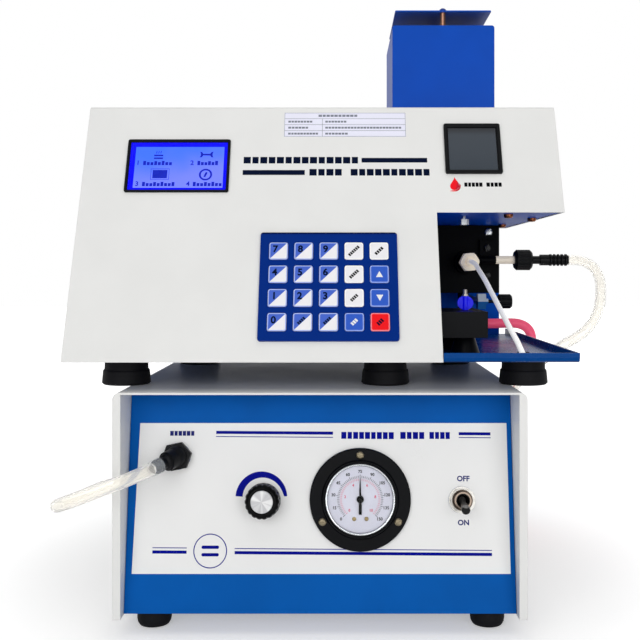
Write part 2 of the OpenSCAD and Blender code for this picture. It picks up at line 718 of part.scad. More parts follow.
// Wall, ceiling and back of the burner bay in one blue sheet
module bay_liner() {
    front_low = inner_front(tray_floor) + cover_gap;
    front_top = inner_front(bay_top + sheet) + cover_gap;
    side_w = sheet;
    floor_z = tray_floor;
    hole_d = burner_tube_d + 6;
    color(deep_blue) difference() {
        union() {
            side_profile([
                [front_low, floor_z], [front_top, bay_top + sheet],
                [bay_wall_back + sheet, bay_top + sheet], [bay_wall_back + sheet, floor_z]
            ], bay_left - side_w + cover_gap, side_w - 0.1);
            block_at(bay_left - side_w + cover_gap, front_top, bay_top,
                [bay_w - 4 + side_w - cover_gap, bay_wall_back + sheet - front_top, sheet]);
            block_at(bay_left - side_w + cover_gap, bay_wall_back, floor_z,
                [bay_right - bay_left + side_w - cover_gap, sheet, bay_h - sheet]);
        }
        translate([burner_x, front_y + burner_back, bay_top - 1])
            cylinder(d = hole_d, h = sheet + 2, $fn = fn_big);
        rod_to_front(pipe_x, bay_wall_back + 5, valve_z, valve_pipe_d + 2 * seat_gap, 10);
    }
}

// Widens an opening of w by h towards the front face of a frame t thick
module bevelled_opening(w, h, t) {
    grown = [(w + 2 * frame_bevel) / w, (h + 2 * frame_bevel) / h];
    translate([0, 0, t - frame_bevel]) linear_extrude(frame_bevel + 0.01, scale = grown)
        square([w, h], center = true);
}

// Frame round the display
module lcd_bezel() {
    color(black) on_photo_front(lcd_x, lcd_s) difference() {
        rounded_plate(lcd_w, lcd_h, 1.4, 1.5);
        translate([0, 0, -1]) rounded_plate(lcd_w - 2 * lcd_border, lcd_h - 2 * lcd_border, 4, 0.6);
        bevelled_opening(lcd_w - 2 * lcd_border, lcd_h - 2 * lcd_border, 1.4);
    }
}

// Display glass in the opening, its board and four spacers behind
module lcd_module() {
    glass_w = lcd_w - 2 * lcd_border - 2 * seat_gap;
    glass_h = lcd_h - 2 * lcd_border - 2 * seat_gap;
    board = [lcd_w + 16, lcd_h + 20, 1.6];
    color("#2b4bff") on_photo_front(lcd_x, lcd_s) {
        translate([0, 0, -8]) rounded_plate(glass_w, glass_h, 8.2, 0.5);
        translate([-board[0] / 2, -board[1] / 2, -8 - board[2]]) cube(board);
        for (sx = [-1, 1], sy = [-1, 1])
            translate([sx * (board[0] / 2 - 4), sy * (board[1] / 2 - 4), -8])
                cylinder(d = 5, h = 8 - sheet, $fn = fn_small);
    }
}

function key_pos(col, row) = [(col - 2) * key_pitch, (1.5 - row) * key_pitch - 0.5];

// Keypad face with an opening for every key
module keypad_overlay() {
    hole = key_size + 2 * run_gap;
    color(key_blue) on_photo_front(pad_x, pad_s) difference() {
        rounded_plate(pad_w, pad_h, pad_t, 2);
        for (col = [0 : 4], row = [0 : 3])
            translate([key_pos(col, row)[0], key_pos(col, row)[1], -1])
                rounded_plate(hole, hole, pad_t + 2, key_corner + run_gap);
    }
}

// One key: a cap with a raised, softened face
module key(col, row) {
    p = key_pos(col, row);
    color("white") on_photo_front(pad_x, pad_s)
        translate([p[0], p[1], pad_t + key_proud - key_t]) {
            rounded_plate(key_size, key_size, key_t - 0.25, key_corner);
            translate([0, 0, key_t - 0.25])
                rounded_plate(key_size - 0.7, key_size - 0.7, 0.25, key_corner - 0.3);
        }
}

module window_frame() {
    color(black) on_photo_front(window_x, window_s) difference() {
        rounded_plate(window_size, window_size, 2, 1.5);
        translate([0, 0, -1])
            rounded_plate(window_size - 2 * window_border, window_size - 2 * window_border, 5, 0.6);
        bevelled_opening(window_size - 2 * window_border, window_size - 2 * window_border, 2);
    }
}

module window_glass() {
    side = window_size - 2 * window_border - 2 * seat_gap;
    color("#404650", 0.6) on_photo_front(window_x, window_s) translate([0, 0, -sheet - 1.5]) {
        rounded_plate(side, side, sheet + 2, 0.5);
        translate([0, 0, -1]) rounded_plate(side + 6, side + 6, 1, 1);
    }
}

// Square duct from the burner bay's ceiling up through the cover
module chimney() {
    z0 = bay_top + sheet;
    inner = [chimney_w - 2 * chimney_wall, chimney_d - 2 * chimney_wall];
    x0 = chimney_x - chimney_w / 2;
    port = 40;
    corner_r = 2.5;
    color(deep_blue) difference() {
        translate([chimney_x, front_y + chimney_back + chimney_d, z0]) rotate([90, 0, 0])
            linear_extrude(chimney_d) shell_outline(chimney_w, chimney_top - z0, corner_r);
        block_at(x0 + chimney_wall, chimney_back + chimney_wall, z0 - 1,
            [inner[0], inner[1], chimney_top - z0 + 2]);
        block_at(window_x - port / 2, chimney_back - 5, photo_top - 58, [port, 10, port]);
        block_at(x0 - 5, optics_back - 12, optics_z - 12, [10, 24, 24]);
    }
    front_tab = chimney_back + chimney_wall;
    color(deep_blue) for (back = [front_tab, chimney_back + chimney_d - chimney_wall - tab_d])
        block_at(chimney_x - 7, back, chimney_top - tab_drop, [14, tab_d, 6]);
}

tab_d = 9;
tab_drop = 12;

// Flat sheet with round corners, held above the duct
module chimney_cap() {
    centre_back = chimney_back + chimney_d / 2;
    color(deep_blue) translate([chimney_x, front_y + centre_back, cap_z]) difference() {
        rounded_plate(chimney_w - 5, chimney_d - 3, cap_t, 1.5);
        for (s = [-1, 1]) translate([0, s * stud_y, -5])
            cylinder(d = stud_d + 2 * seat_gap, h = 12, $fn = fn_small);
    }
}

stud_y = chimney_d / 2 - chimney_wall - stud_in;

// Two studs from the tabs in the chimney to domed nuts on the cap
module cap_studs() {
    z0 = chimney_top - tab_drop + 6;
    color(copper) for (s = [-1, 1])
        translate([chimney_x, front_y + chimney_back + chimney_d / 2 + s * stud_y, z0]) {
            cylinder(d = stud_d, h = cap_z - z0 + cap_t, $fn = fn_mid);
            cylinder(d = stud_d + 1, h = cap_z - z0, $fn = fn_mid);
            translate([0, 0, cap_z - z0 + cap_t]) rotate_extrude($fn = fn_mid) polygon([
                [0, 0], [3.4, 0], [3.4, 0.6], [2.6, 1.9], [1.5, 2.7], [0, 3]
            ]);
        }
}

burner_back = bay_wall_back - 24;
latch_x = bay_left + 64.6;
latch_t = 5;
burner_tube_d = 26;

// Black plate, mixing chamber, burner tube and drain elbow
module burner_housing() {
    x0 = bay_left + 0.5;
    top_z = bay_top - 0.3;
    plate_t = 4;
    chamber_x0 = bay_left + 10;
    chamber_w = 56;
    color(black) {
        block_at(x0, plate_back, plate_low, [plate_right - x0, plate_t, top_z - plate_low]);
        block_at(chamber_x0, plate_back + plate_t, plate_low + 5,
            [chamber_w, bay_wall_back - plate_back - plate_t, top_z - plate_low - 8]);
        block_at(latch_x - 7.1, plate_back - latch_t, plate_low + 34, [14.2, latch_t, 14.6]);
        rod_to_front(neb_x, plate_back, neb_z, 20.5, 11);
        rod_to_front(neb_x, plate_back, neb_z, 17.4, plate_back - neb_nut_back - 10);
        rod_to_right(neb_x, arm_back, arm_z, 6.2, arm_black_end - neb_x);
        translate([burner_x, front_y + burner_back, top_z - 8])
            difference() {
                cylinder(d = burner_tube_d, h = 36, $fn = fn_big);
                for (a = [0 : 45 : 315], r = [4, 8]) rotate(a) translate([r, 0, 30])
                    cylinder(d = 1.6, h = 8, $fn = fn_small);
            }
        translate([neb_x, front_y + drain_back, drain_z])
            cylinder(d = 10, h = plate_low + 6 - drain_z, $fn = fn_mid);
        translate([neb_x, front_y + drain_back, drain_z]) sphere(d = 10, $fn = fn_mid);
        translate([neb_x, front_y + drain_back, drain_z]) rotate([0, 90, 0])
            rotate_extrude($fn = fn_mid) polygon([
                [0, 0], [3.4, 0], [3.4, 8], [4, 8.6], [3.4, 11.5], [4, 12.1], [3.4, 15],
                [3, drain_end - neb_x], [0, drain_end - neb_x]
            ]);
    }
}

// Ivory nut with the capillary's boss, and the ivory air arm
module nebuliser() {
    nut_l = 10;
    collar_d = neb_nut_af - 2.4;
    color(ivory) {
        translate([neb_x, front_y + neb_nut_back + nut_l, neb_z]) rotate([90, 0, 0]) {
            intersection() {
                rotate(4) hex_nut(neb_nut_af, nut_l, 1);
                cylinder(d1 = neb_nut_af + 6, d2 = neb_nut_af + 0.6, h = nut_l + 0.1, $fn = fn_big);
            }
            difference() {
                cylinder(d = collar_d, h = nut_l + 0.7, $fn = fn_big);
                translate([0, 0, nut_l - 0.6]) cylinder(d = 8.8, h = 2, $fn = fn_mid);
            }
            cylinder(d = 7.4, h = nut_l + 4, $fn = fn_mid);
        }
        rod_to_right(arm_black_end, arm_back, arm_z, 7, conn_start + 6 - arm_black_end);
    }
}

// Connector on the end of the air hose: ribbed nut, neck and ribbed tail
module hose_connector() {
    tube_seat_d = 7 + 2 * seat_gap;
    ribs = 5;
    rib_pitch = 3.4;
    collar_l = 8;
    color(black) translate([conn_start, front_y + arm_back, arm_z]) rotate([0, 90, 0]) {
        difference() {
            union() {
                rotate_extrude($fn = fn_big) polygon([
                    [0, 0], [conn_nut_d / 2 - 2, 0], [conn_nut_d / 2, 2],
                    [conn_nut_d / 2, conn_nut_l - 2], [conn_nut_d / 2 - 2, conn_nut_l], [0, conn_nut_l]
                ]);
                cylinder(d = 7.2, h = conn_nut_l + conn_neck_l, $fn = fn_mid);
                translate([0, 0, conn_nut_l + conn_neck_l])
                    rotate_extrude($fn = fn_mid) polygon(concat(
                        [[0, 0], [4.9, 0], [4.9, collar_l]],
                        [for (i = [0 : ribs - 1]) each [
                            [4.2, collar_l + i * rib_pitch], [5.3, collar_l + i * rib_pitch + 0.7],
                            [5.3, collar_l + i * rib_pitch + 2.2], [4.2, collar_l + i * rib_pitch + 2.9]
                        ]],
                        [[4.2, conn_barb_l], [0, conn_barb_l]]
                    ));
            }
            translate([0, 0, -1]) cylinder(d = tube_seat_d, h = 7.4, $fn = fn_mid);
            for (i = [0 : 23]) rotate(i * 15) translate([conn_nut_d / 2 + 0.5, 0, 2.5])
                cylinder(d = 2, h = conn_nut_l - 5, $fn = fn_small);
        }
    }
}

// Black gas block on two conical feet, bored for the tap's spindle
module gas_block() {
    foot_low = 22;
    foot_top = 14;
    feet = [[tap_x - 1.4, 65], [tap_x - 6, 106]];
    color(black) difference() {
        union() {
            block_at(block_x, block_back, block_z0, [block_w, block_d, block_h]);
            for (f = feet) translate([f[0], front_y + f[1], tray_floor])
                cylinder(d1 = foot_low, d2 = foot_top, h = block_z0 - tray_floor, $fn = fn_mid);
        }
        translate([tap_x, front_y + tap_back, block_z0 + block_h - 9])
            cylinder(d = tap_spindle_d + 0.1, h = 12, $fn = fn_small);
        for (p = foot_places) translate([p[0], front_y + p[1], tray_floor - 1])
            cylinder(d = 11, h = 4, $fn = fn_small);
    }
}

tap_spindle_d = 3;

// Winged handle of the gas tap with its spindle, nut and end screw
module tap_handle() {
    hub_h = 10.4;
    wing_t = 4.4;
    wing_r = 4.9;
    reach = tap_span / 2 - wing_r;
    z0 = block_z0 + block_h + run_gap;
    color("#1030e0") translate([tap_x, front_y + tap_back, z0]) {
        cylinder(d = 5.8, h = hub_h, $fn = fn_mid);
        for (s = [-1, 1]) translate([s * reach, wing_t / 2, hub_h / 2]) rotate([90, 0, 0])
            cylinder(r = wing_r, h = wing_t, $fn = fn_mid);
        translate([-reach, -wing_t / 2, hub_h / 2 - wing_r]) cube([2 * reach, wing_t, 2 * wing_r]);
        translate([0, 0, hub_h]) cylinder(d = 4, h = 1.6, $fn = 6);
        translate([0, 0, hub_h + 1.6]) cylinder(d = 3, h = 3.2, $fn = fn_small);
        translate([0, 0, -8]) cylinder(d = tap_spindle_d, h = 8, $fn = fn_small);
    }
}

valve_spindle_d = 3;
valve_pipe_d = 6.6;
pipe_x = valve_x + 3.7;

// Gas needle valve: hexagonal body, gland to the right, pipe to the bay's back
module needle_valve() {
    body_af = 13.6;
    body_l = 7.4;
    gland_l = 2.4;
    color(steel) difference() {
        union() {
            translate([valve_x, front_y + valve_back, valve_z]) rotate([0, 90, 0]) rotate(30)
                cylinder(d = body_af / cos(30), h = body_l, $fn = 6);
            translate([pipe_x, front_y + bay_wall_back + 4, valve_z]) rotate([90, 0, 0]) rotate(47)
                cylinder(d = valve_pipe_d, h = bay_wall_back + 4 - valve_back - 3, $fn = fn_mid);
            rod_to_right(valve_x + body_l - 1, valve_back, valve_z, 5, gland_l + 1);
        }
        rod_to_right(valve_x + 3, valve_back, valve_z, valve_spindle_d + 0.1, 12);
    }
}

// Ribbed knob on the needle valve's spindle
module valve_knob() {
    color(black) translate([knob_x0, front_y + valve_back, valve_z]) rotate([0, 90, 0]) {
        difference() {
            rotate_extrude($fn = fn_mid) polygon([
                [0, 0], [valve_knob_d / 2 - 1.6, 0], [valve_knob_d / 2, 1.4],
                [valve_knob_d / 2, knob_l - 1.4], [valve_knob_d / 2 - 1.4, knob_l], [0, knob_l]
            ]);
            for (i = [0 : 17]) rotate(i * 20) translate([valve_knob_d / 2 + 0.35, 0, 1.6])
                cylinder(d = 1.6, h = knob_l - 3.2, $fn = fn_small);
        }
        translate([0, 0, valve_x + 4 - knob_x0])
            cylinder(d = valve_spindle_d, h = knob_x0 - valve_x - 4, $fn = fn_mid);
    }
}

// All visible screws of the fixed pieces
module screws() {
    gauge_screw_r = (gauge_case_d + gauge_flange_d) / 4 - 0.4;
    color(copper) {
        on_comp_front(gauge_x, gauge_s) for (a = [90, 210, 330]) rotate(a)
            translate([gauge_screw_r, 0, gauge_flange_t]) rotate(a * 0.7) screw_head(5.2, 1.8);
        for (p = [[bay_left + 55.8, 74], [photo_w / 2 - 9.5, 124], [photo_w / 2 - 16.4, plate_back - 12]])
            translate([p[0], front_y + p[1], bay_top]) rotate([180, 0, 0]) screw_head(7, 3);
    }
    color(steel) {
        translate([plate_right - 10, front_y + plate_back, plate_low + 56])
            rotate([90, 0, 0]) rotate(50) screw_head(6.8, 2.4);
        translate([plate_right - 10.4, front_y + plate_back, plate_low + 16.4])
            rotate([90, 0, 0]) rotate(-35) screw_head(5, 1.6);
        translate([latch_x - 0.3, front_y + plate_back - latch_t, plate_low + 41.3])
            rotate([90, 0, 0]) rotate(70) screw_head(6.4, 1.8);
        translate([bay_left + 25.6, front_y + 100, bay_top]) rotate([180, 0, 0]) {
            cylinder(d = 3.4, h = 6.8, $fn = fn_small);
            translate([0, 0, 2.2]) cylinder(d = 8.3, h = 4.3, $fn = 6);
        }
        for (s = [-1, 1], back = [40, comp_d - 40])
            translate([s * comp_w / 2, front_y + back, comp_clear + 12])
                rotate([0, s * 90, 0]) screw_head(6, 2);
        for (p = [
            [12 - photo_w / 2, 12], [12 - photo_w / 2, photo_h - 12],
            [bay_left - 12, 12], [photo_w / 2 - 12, photo_h - 12]
        ]) translate([p[0], front_y + photo_rear, base_z + p[1]])
            rotate([-90, 0, 0]) screw_head(6, 2);
    }
}

// Main board behind the front panel, and the power supply on the floor
module circuit_boards() {
    board = [min(150, 2 * (bay_left - 9)), 60, 1.6];
    color("#1f6b3a") {
        on_photo_front(pad_x - 4, pad_s) {
            translate([-board[0] / 2, -board[1] / 2, -sheet - 10 - board[2]]) cube(board);
            for (sx = [-1, 1], sy = [-1, 1])
                translate([sx * (board[0] / 2 - 5), sy * (board[1] / 2 - 5), -sheet - 10])
                    cylinder(d = 6, h = 10, $fn = fn_small);
        }
        block_at(-160, 224, tray_floor, [90, 60, 34]);
        block_at(-64, 174, tray_floor, [56, 50, 40]);
    }
}

optics_back = 240;
optics_z = base_z + 141;

// Photo-detector block beside the flame, on a post from the floor
module optics_unit() {
    duct_left = chimney_x - chimney_w / 2;
    body = [66, 44, 36];
    color(black) {
        block_at(duct_left - 14 - body[0], optics_back - body[1] / 2, optics_z - body[2] / 2, body);
        rod_to_right(duct_left - 14, optics_back, optics_z, 28, 14);
        block_at(duct_left - 14 - body[0] + 20, optics_back - 12, tray_floor,
            [18, 24, optics_z - body[2] / 2 - tray_floor]);
        rod_to_right(duct_left - 14 - body[0] - 12, optics_back, optics_z, 20, 12);
    }
}

inlet_x = -95;
inlet_w = 28;
inlet_h = 21;
comp_inlet_z = comp_clear + 45;
photo_inlet_z = base_z + 50;
gas_tail_x = 30;
gas_tail_z = base_z + 40;
gas_tail_thread = 9;

// Mains inlet with a recess and three pins, outward along +Y
module mains_inlet() {
    flange = [48, 24, 2];
    pin = [1.8, 12, 4];
    difference() {
        union() {
            translate([-flange[0] / 2, 0, -flange[1] / 2]) cube([flange[0], flange[2], flange[1]]);
            translate([-inlet_w / 2 + seat_gap, -18, -inlet_h / 2 + seat_gap])
                cube([inlet_w - 2 * seat_gap, 18.5, inlet_h - 2 * seat_gap]);
        }
        translate([-12, -14, -8]) cube([24, 20, 16]);
        for (s = [-1, 1]) translate([s * 20, -5, 0]) rotate([-90, 0, 0])
            cylinder(d = 3.4, h = 10, $fn = fn_small);
    }
    for (p = [[-7, -1], [0, 3], [7, -1]]) translate([p[0] - pin[0] / 2, -14.5, p[1] - pin[2] / 2]) cube(pin);
}

// Two mains inlets and the brass gas tail through the back
module rear_fittings() {
    color(black) {
        translate([inlet_x, front_y + comp_d - 2, comp_inlet_z]) mains_inlet();
        translate([inlet_x, front_y + photo_rear, photo_inlet_z]) mains_inlet();
    }
    color("#c9a24a") translate([gas_tail_x, front_y + photo_rear, gas_tail_z]) rotate([-90, 0, 0]) {
        translate([0, 0, -14]) cylinder(d = gas_tail_thread, h = 15, $fn = fn_mid);
        cylinder(d = 15, h = gas_tail_flange, $fn = 6);
        translate([0, 0, gas_tail_flange]) rotate_extrude($fn = fn_mid) polygon([
            [0, 0], [4, 0], [4, 12], [4.6, 12.6], [4, 15], [4.6, 15.6], [3.4, gas_tail_l], [0, gas_tail_l]
        ]);
    }
}

// ---- Free hoses ----
module air_hose() {
    color("#e9e4d6") swept_tube(air_route, hose_d, 10);
}

module sample_tube() {
    color("#d7dde2") swept_tube(sample_route, tube_d, 8);
}

module drain_hose() {
    color("#d04060") swept_tube(drain_route, hose_d, 10);
}

compressor_chassis();
compressor_shell();
compressor_feet();
regulator();
regulator_knob();
gauge_case();
gauge_dial();
gauge_pointer();
gauge_glass();
toggle_switch();
toggle_lever();
air_outlet();
air_pump();
base_tray();
main_cover();
rear_panel();
bay_liner();
photometer_feet();
lcd_bezel();
lcd_module();
keypad_overlay();
key(0, 0);  // key_7
key(1, 0);  // key_8
key(2, 0);  // key_9
key(3, 0);  // key_recall
key(4, 0);  // key_read
key(0, 1);  // key_4
key(1, 1);  // key_5
key(2, 1);  // key_6
key(3, 1);  // key_menu
key(4, 1);  // key_up
key(0, 2);  // key_1
key(1, 2);  // key_2
key(2, 2);  // key_3
key(3, 2);  // key_det
key(4, 2);  // key_down
key(0, 3);  // key_0
key(1, 3);  // key_del
key(2, 3);  // key_set
key(3, 3);  // key_print
key(4, 3);  // key_reset
window_frame();
window_glass();
chimney();
chimney_cap();
cap_studs();
burner_housing();
nebuliser();
hose_connector();
gas_block();
tap_handle();
needle_valve();
valve_knob();
screws();
circuit_boards();
optics_unit();
rear_fittings();
air_hose();
sample_tube();
drain_hose();
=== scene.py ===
# %% [markdown]
# # Dressing a flame photometer and its compressor
# A flame photometer burns a fine spray of a sample and reads the colour of the flame. This one stands on
# the compressor that feeds its sprayer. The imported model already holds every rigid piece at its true
# size, so this lesson adds what a photograph would show: paint, print, glass, glow and soft hoses.

# %% Load the rigid model
import math

import bmesh
import bpy
from mathutils import Matrix, Vector
from mathutils.geometry import interpolate_bezier


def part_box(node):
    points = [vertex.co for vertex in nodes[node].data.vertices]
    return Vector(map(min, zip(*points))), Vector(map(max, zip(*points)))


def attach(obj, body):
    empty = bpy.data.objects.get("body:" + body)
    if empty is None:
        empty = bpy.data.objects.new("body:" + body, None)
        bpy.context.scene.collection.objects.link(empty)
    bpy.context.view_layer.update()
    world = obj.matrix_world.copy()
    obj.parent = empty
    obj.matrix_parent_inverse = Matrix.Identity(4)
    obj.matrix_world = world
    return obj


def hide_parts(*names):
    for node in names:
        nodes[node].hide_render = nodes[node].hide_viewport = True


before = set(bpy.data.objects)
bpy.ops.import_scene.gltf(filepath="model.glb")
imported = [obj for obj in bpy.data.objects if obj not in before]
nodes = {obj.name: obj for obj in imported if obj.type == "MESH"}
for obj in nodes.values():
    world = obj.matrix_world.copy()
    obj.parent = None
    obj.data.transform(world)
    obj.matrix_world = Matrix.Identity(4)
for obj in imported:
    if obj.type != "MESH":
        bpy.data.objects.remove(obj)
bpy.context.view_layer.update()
MM = 0.001

# %% [markdown]
# ## The camera comes first
# A product photograph like this is taken with the camera level, a little above the middle of the object,
# and the lens is shifted instead of tilted, so that upright edges stay parallel. The distance is taken
# from the front edge of the lower housing, because that edge is the nearest straight line in the picture.

# %% A level camera with a shifted lens


def placed(name, data):
    """A new object that stands in the scene."""
    made = bpy.data.objects.new(name, data)
    bpy.context.scene.collection.objects.link(made)
    return made


PICTURE = 640
FOCAL_PIXELS = 940
CENTRE_PIXEL = (340, 273)
CAMERA_X = 13.5 * MM
CAMERA_HEIGHT = 247 * MM
CAMERA_DISTANCE = 631 * MM
SENSOR = 36
front_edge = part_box("compressor_shell")[0].y
lens = bpy.data.cameras.new("studio_camera")
lens.sensor_width = SENSOR
lens.lens = FOCAL_PIXELS / PICTURE * SENSOR
lens.shift_x = (PICTURE / 2 - CENTRE_PIXEL[0]) / PICTURE
lens.shift_y = (CENTRE_PIXEL[1] - PICTURE / 2) / PICTURE
camera = placed("studio_camera", lens)
camera.location = (CAMERA_X, front_edge - CAMERA_DISTANCE, CAMERA_HEIGHT)
camera.rotation_euler = (math.radians(90), 0, 0)
bpy.context.scene.camera = camera
bpy.context.scene.view_settings.view_transform = "Standard"
print("lens", round(lens.lens, 2), "mm, shift", round(lens.shift_x, 4), round(lens.shift_y, 4))

# %% [markdown]
# ## Shader sums in plain Python
# A procedural finish is a sum of masks, noises and colours. Wrapping a node's output in a small class lets
# each finish be written as an expression, such as `0.3 + (grain - 0.5) * 0.1`, and the class adds the nodes.

# %% A class that wraps a socket


class Signal:
    """One output of a material's node tree that takes part in Python sums."""

    def __init__(self, tree, socket=None):
        self.tree = tree
        self.socket = socket

    def node(self, kind, settings, inputs, out=0):
        """Adds a node, sets it up, then feeds its sockets with values or with other signals."""
        made = self.tree.nodes.new("ShaderNode" + kind)
        for name, value in settings.items():
            setattr(made, name, value)
        for name, value in inputs.items():
            feed(self.tree, made.inputs[name], value)
        return Signal(self.tree, made.outputs[out])

    def sum_with(self, operation, first, second):
        """A Math node, or a Vector Math node where one of the two is a vector."""
        vectors = any(isinstance(v, Signal) and v.socket.type == "VECTOR" for v in (first, second))
        kind = "VectorMath" if vectors else "Math"
        return self.node(kind, {"operation": operation}, {0: first, 1: second})

    def __add__(self, other):
        return self.sum_with("ADD", self, other)

    def __radd__(self, other):
        return self.sum_with("ADD", other, self)

    def __sub__(self, other):
        return self.sum_with("SUBTRACT", self, other)

    def __rsub__(self, other):
        return self.sum_with("SUBTRACT", other, self)

    def __mul__(self, other):
        return self.sum_with("MULTIPLY", self, other)

    def __rmul__(self, other):
        return self.sum_with("MULTIPLY", other, self)

    def magnitude(self):
        """This value without its sign."""
        return self.node("Math", {"operation": "ABSOLUTE"}, {0: self})

    def most(self, other):
        """The larger of the two."""
        return self.sum_with("MAXIMUM", self, other)

    def least(self, other):
        """The smaller of the two."""
        return self.sum_with("MINIMUM", self, other)

    def along(self, direction):
        """How far a place lies along a direction."""
        dot = {"operation": "DOT_PRODUCT"}
        return self.node("VectorMath", dot, {0: self, 1: tuple(direction)}, "Value")

    def length(self):
        """How long a vector is."""
        return self.node("VectorMath", {"operation": "LENGTH"}, {0: self}, "Value")

    def rise(self, low, high, floor=0.0, top=1.0):
        """A smooth step that starts at low and is complete at high."""
        return self.node("MapRange", {"interpolation_type": "SMOOTHSTEP"},
                         {"Value": self, "From Min": low, "From Max": high, "To Min": floor, "To Max": top})

    def within(self, soft=0.06):
        """1 where a distance to an outline is negative, which is inside it, and 0 outside."""
        return self.rise(-soft, soft, 1.0, 0.0)

    def axis(self, index):
        """The x, y or z of a vector."""
        return self.node("SeparateXYZ", {}, {0: self}, index)

    def noise(self, size_mm, detail=2.0):
        """Noise whose lumps are about that many millimetres wide, of a place in millimetres."""
        return self.node("TexNoise", {}, {"Vector": self, "Scale": 1 / size_mm, "Detail": detail})

    def blend(self, first, second):
        """A colour that goes from first to second as this signal goes from 0 to 1."""
        factor, colour_a, colour_b, colour_out = 0, 6, 7, 2
        inputs = {factor: self, colour_a: first, colour_b: second}
        return self.node("Mix", {"data_type": "RGBA"}, inputs, colour_out)

    def bump(self, height_mm, normal=None):
        """A normal bent as if this signal stood that many millimetres high."""
        inputs = {"Strength": 1.0, "Distance": height_mm * MM, "Height": self}
        if normal is not None:
            inputs["Normal"] = normal
        return self.node("Bump", {}, inputs)


def feed(tree, socket, value):
    """Links a signal to a socket, or sets it to a plain value; a colour may be a web code."""
    if isinstance(value, Signal):
        tree.links.new(value.socket, socket)
    elif isinstance(value, str):
        socket.default_value = (*colour_of(value), 1)
    elif socket.type == "RGBA" and len(value) == 3:
        socket.default_value = (*value, 1)
    elif socket.type == "VECTOR" and not hasattr(value, "__len__"):
        socket.default_value = (value, value, value)
    else:
        socket.default_value = value


def fill_in(shader, values):
    """Feeds several sockets of a shader at once."""
    for name, value in values.items():
        feed(shader.id_data, shader.inputs[name], value)


def colour_of(code):
    """A web colour as the linear light values that shaders count in."""
    parts = [int(code[i:i + 2], 16) / 255 for i in (1, 3, 5)]
    return tuple(v / 12.92 if v <= 0.04045 else ((v + 0.055) / 1.055) ** 2.4 for v in parts)


def shaded(colour, factor):
    """A colour, as a web code or as light values, made darker or lighter."""
    light = colour_of(colour) if isinstance(colour, str) else colour
    return tuple(min(1.0, v * factor) for v in light)


print("mid grey counts as", round(colour_of("#808080")[0], 3))

# %% [markdown]
# ## Two leaning panels
# Nearly all that the eye looks for sits on the two leaning front panels. It is easier to place a key or a
# printed line in the plane of its panel than in the room: x runs to the right, s up the slope and n straight
# out of it. A slope also turns a shader's place back into x and s, so masks are drawn in the same numbers.

# %% The plane of a leaning panel


class Slope:
    """A leaning plane; its origin lies a depth behind the front edge and at a height, in millimetres."""

    def __init__(self, back, height, lean):
        angle = math.radians(lean)
        self.origin = Vector((0, front_edge / MM + back, height))
        self.across = Vector((1, 0, 0))
        self.up = Vector((0, math.sin(angle), math.cos(angle)))
        self.out = self.across.cross(self.up)

    def point(self, x, s, n=0.0):
        """A spot of the panel as a place in the room, in millimetres."""
        return self.origin + self.across * x + self.up * s + self.out * n

    def at(self, x=0.0, s=0.0, n=0.0, turn=0.0):
        """The matrix that takes a drawing in millimetres to its place in the room, in metres."""
        axes = Matrix((self.across, self.up, self.out)).transposed().to_4x4()
        spin = Matrix.Rotation(math.radians(turn), 4, "Z")
        return Matrix.Scale(MM, 4) @ Matrix.Translation(self.point(x, s, n)) @ axes @ spin

    def read(self, place, x=0.0, s=0.0):
        """The two coordinates of a shader's place on this plane, counted from x and s."""
        offset = place - tuple(self.point(x, s))
        return offset.along(self.across), offset.along(self.up)


lower_panel = Slope(back=9, height=15, lean=9.5)
upper_panel = Slope(back=9, height=186, lean=22.6)
print("panels face", [round(v, 2) for v in lower_panel.out], [round(v, 2) for v in upper_panel.out])

# %% Where the fittings sit on their panels, as x and s
KNOB, GAUGE, TOGGLE, OUTLET = (-39.5, 75.2), (27.5, 76), (98.1, 75.5), (-100.1, 105.2)
DISPLAY, WINDOW, PAD = (-106.8, 152.1), (112.8, 166.5), (5.5, 55.9)
FLAME, STICKER = (98.0, 136.8), (17.3, 187.75)
print("the gauge's middle in the room:", [round(v, 1) for v in lower_panel.point(*GAUGE)])

# %% [markdown]
# ## Paints, plastics and rubber
# Most of this instrument is powder-coated sheet. Close up, such a coat is a fine orange peel with faint
# clouds of more and less gloss. Moulded plastic and rubber differ from it in the size of the grain and in
# how dull they are, so one recipe with a few numbers makes them all. A dark piece looks deep only if its
# skin mirrors little, so the mirror share is a number of the recipe too.

# %% The recipe for coats and mouldings
CLOUD_WIDTH = 38.0
LACQUER_ROUGHNESS = 0.12


def new_finish(name, mirror=0.25):
    """An empty finish, its shader and a place in millimetres; mirror is the skin's mirror share."""
    material = bpy.data.materials.new(name)
    material.use_nodes = True
    shader = material.node_tree.nodes["Principled BSDF"]
    fill_in(shader, {"Specular IOR Level": mirror})
    metres = Signal(material.node_tree).node("TexCoord", {}, {}, "Object")
    return material, shader, metres * (1 / MM)


def coat(name, colour, rough, grain, relief, clouds=0.03, lacquer=0.0, edge=0.0, mirror=0.22):
    """A coat or moulding: grain is the width of its lumps, relief their height and edge the rounding of
    its corners, all in millimetres. clouds is how far its colour drifts, lacquer the share of a clear top
    coat. The colour may also be a function that makes it from the place."""
    material, shader, place = new_finish(name, mirror)
    cloud = place.noise(CLOUD_WIDTH, 3.0)
    fine = place.noise(grain)
    if callable(colour):
        shade = cloud.rise(0.3, 0.7, 1 - clouds, 1.0)
        tint = shade.blend((0, 0, 0), colour(place))
    else:
        tint = cloud.rise(0.3, 0.7).blend(shaded(colour, 1 - clouds), shaded(colour, 1 + clouds))
    rounded = place.node("Bevel", {"samples": 4}, {"Radius": edge * MM}) if edge else None
    roughness = rough + (cloud - 0.5) * 0.12 + (fine - 0.5) * 0.08
    fill_in(shader, {"Base Color": tint, "Roughness": roughness, "Normal": fine.bump(relief, rounded),
                     "Coat Weight": lacquer, "Coat Roughness": LACQUER_ROUGHNESS})
    return material


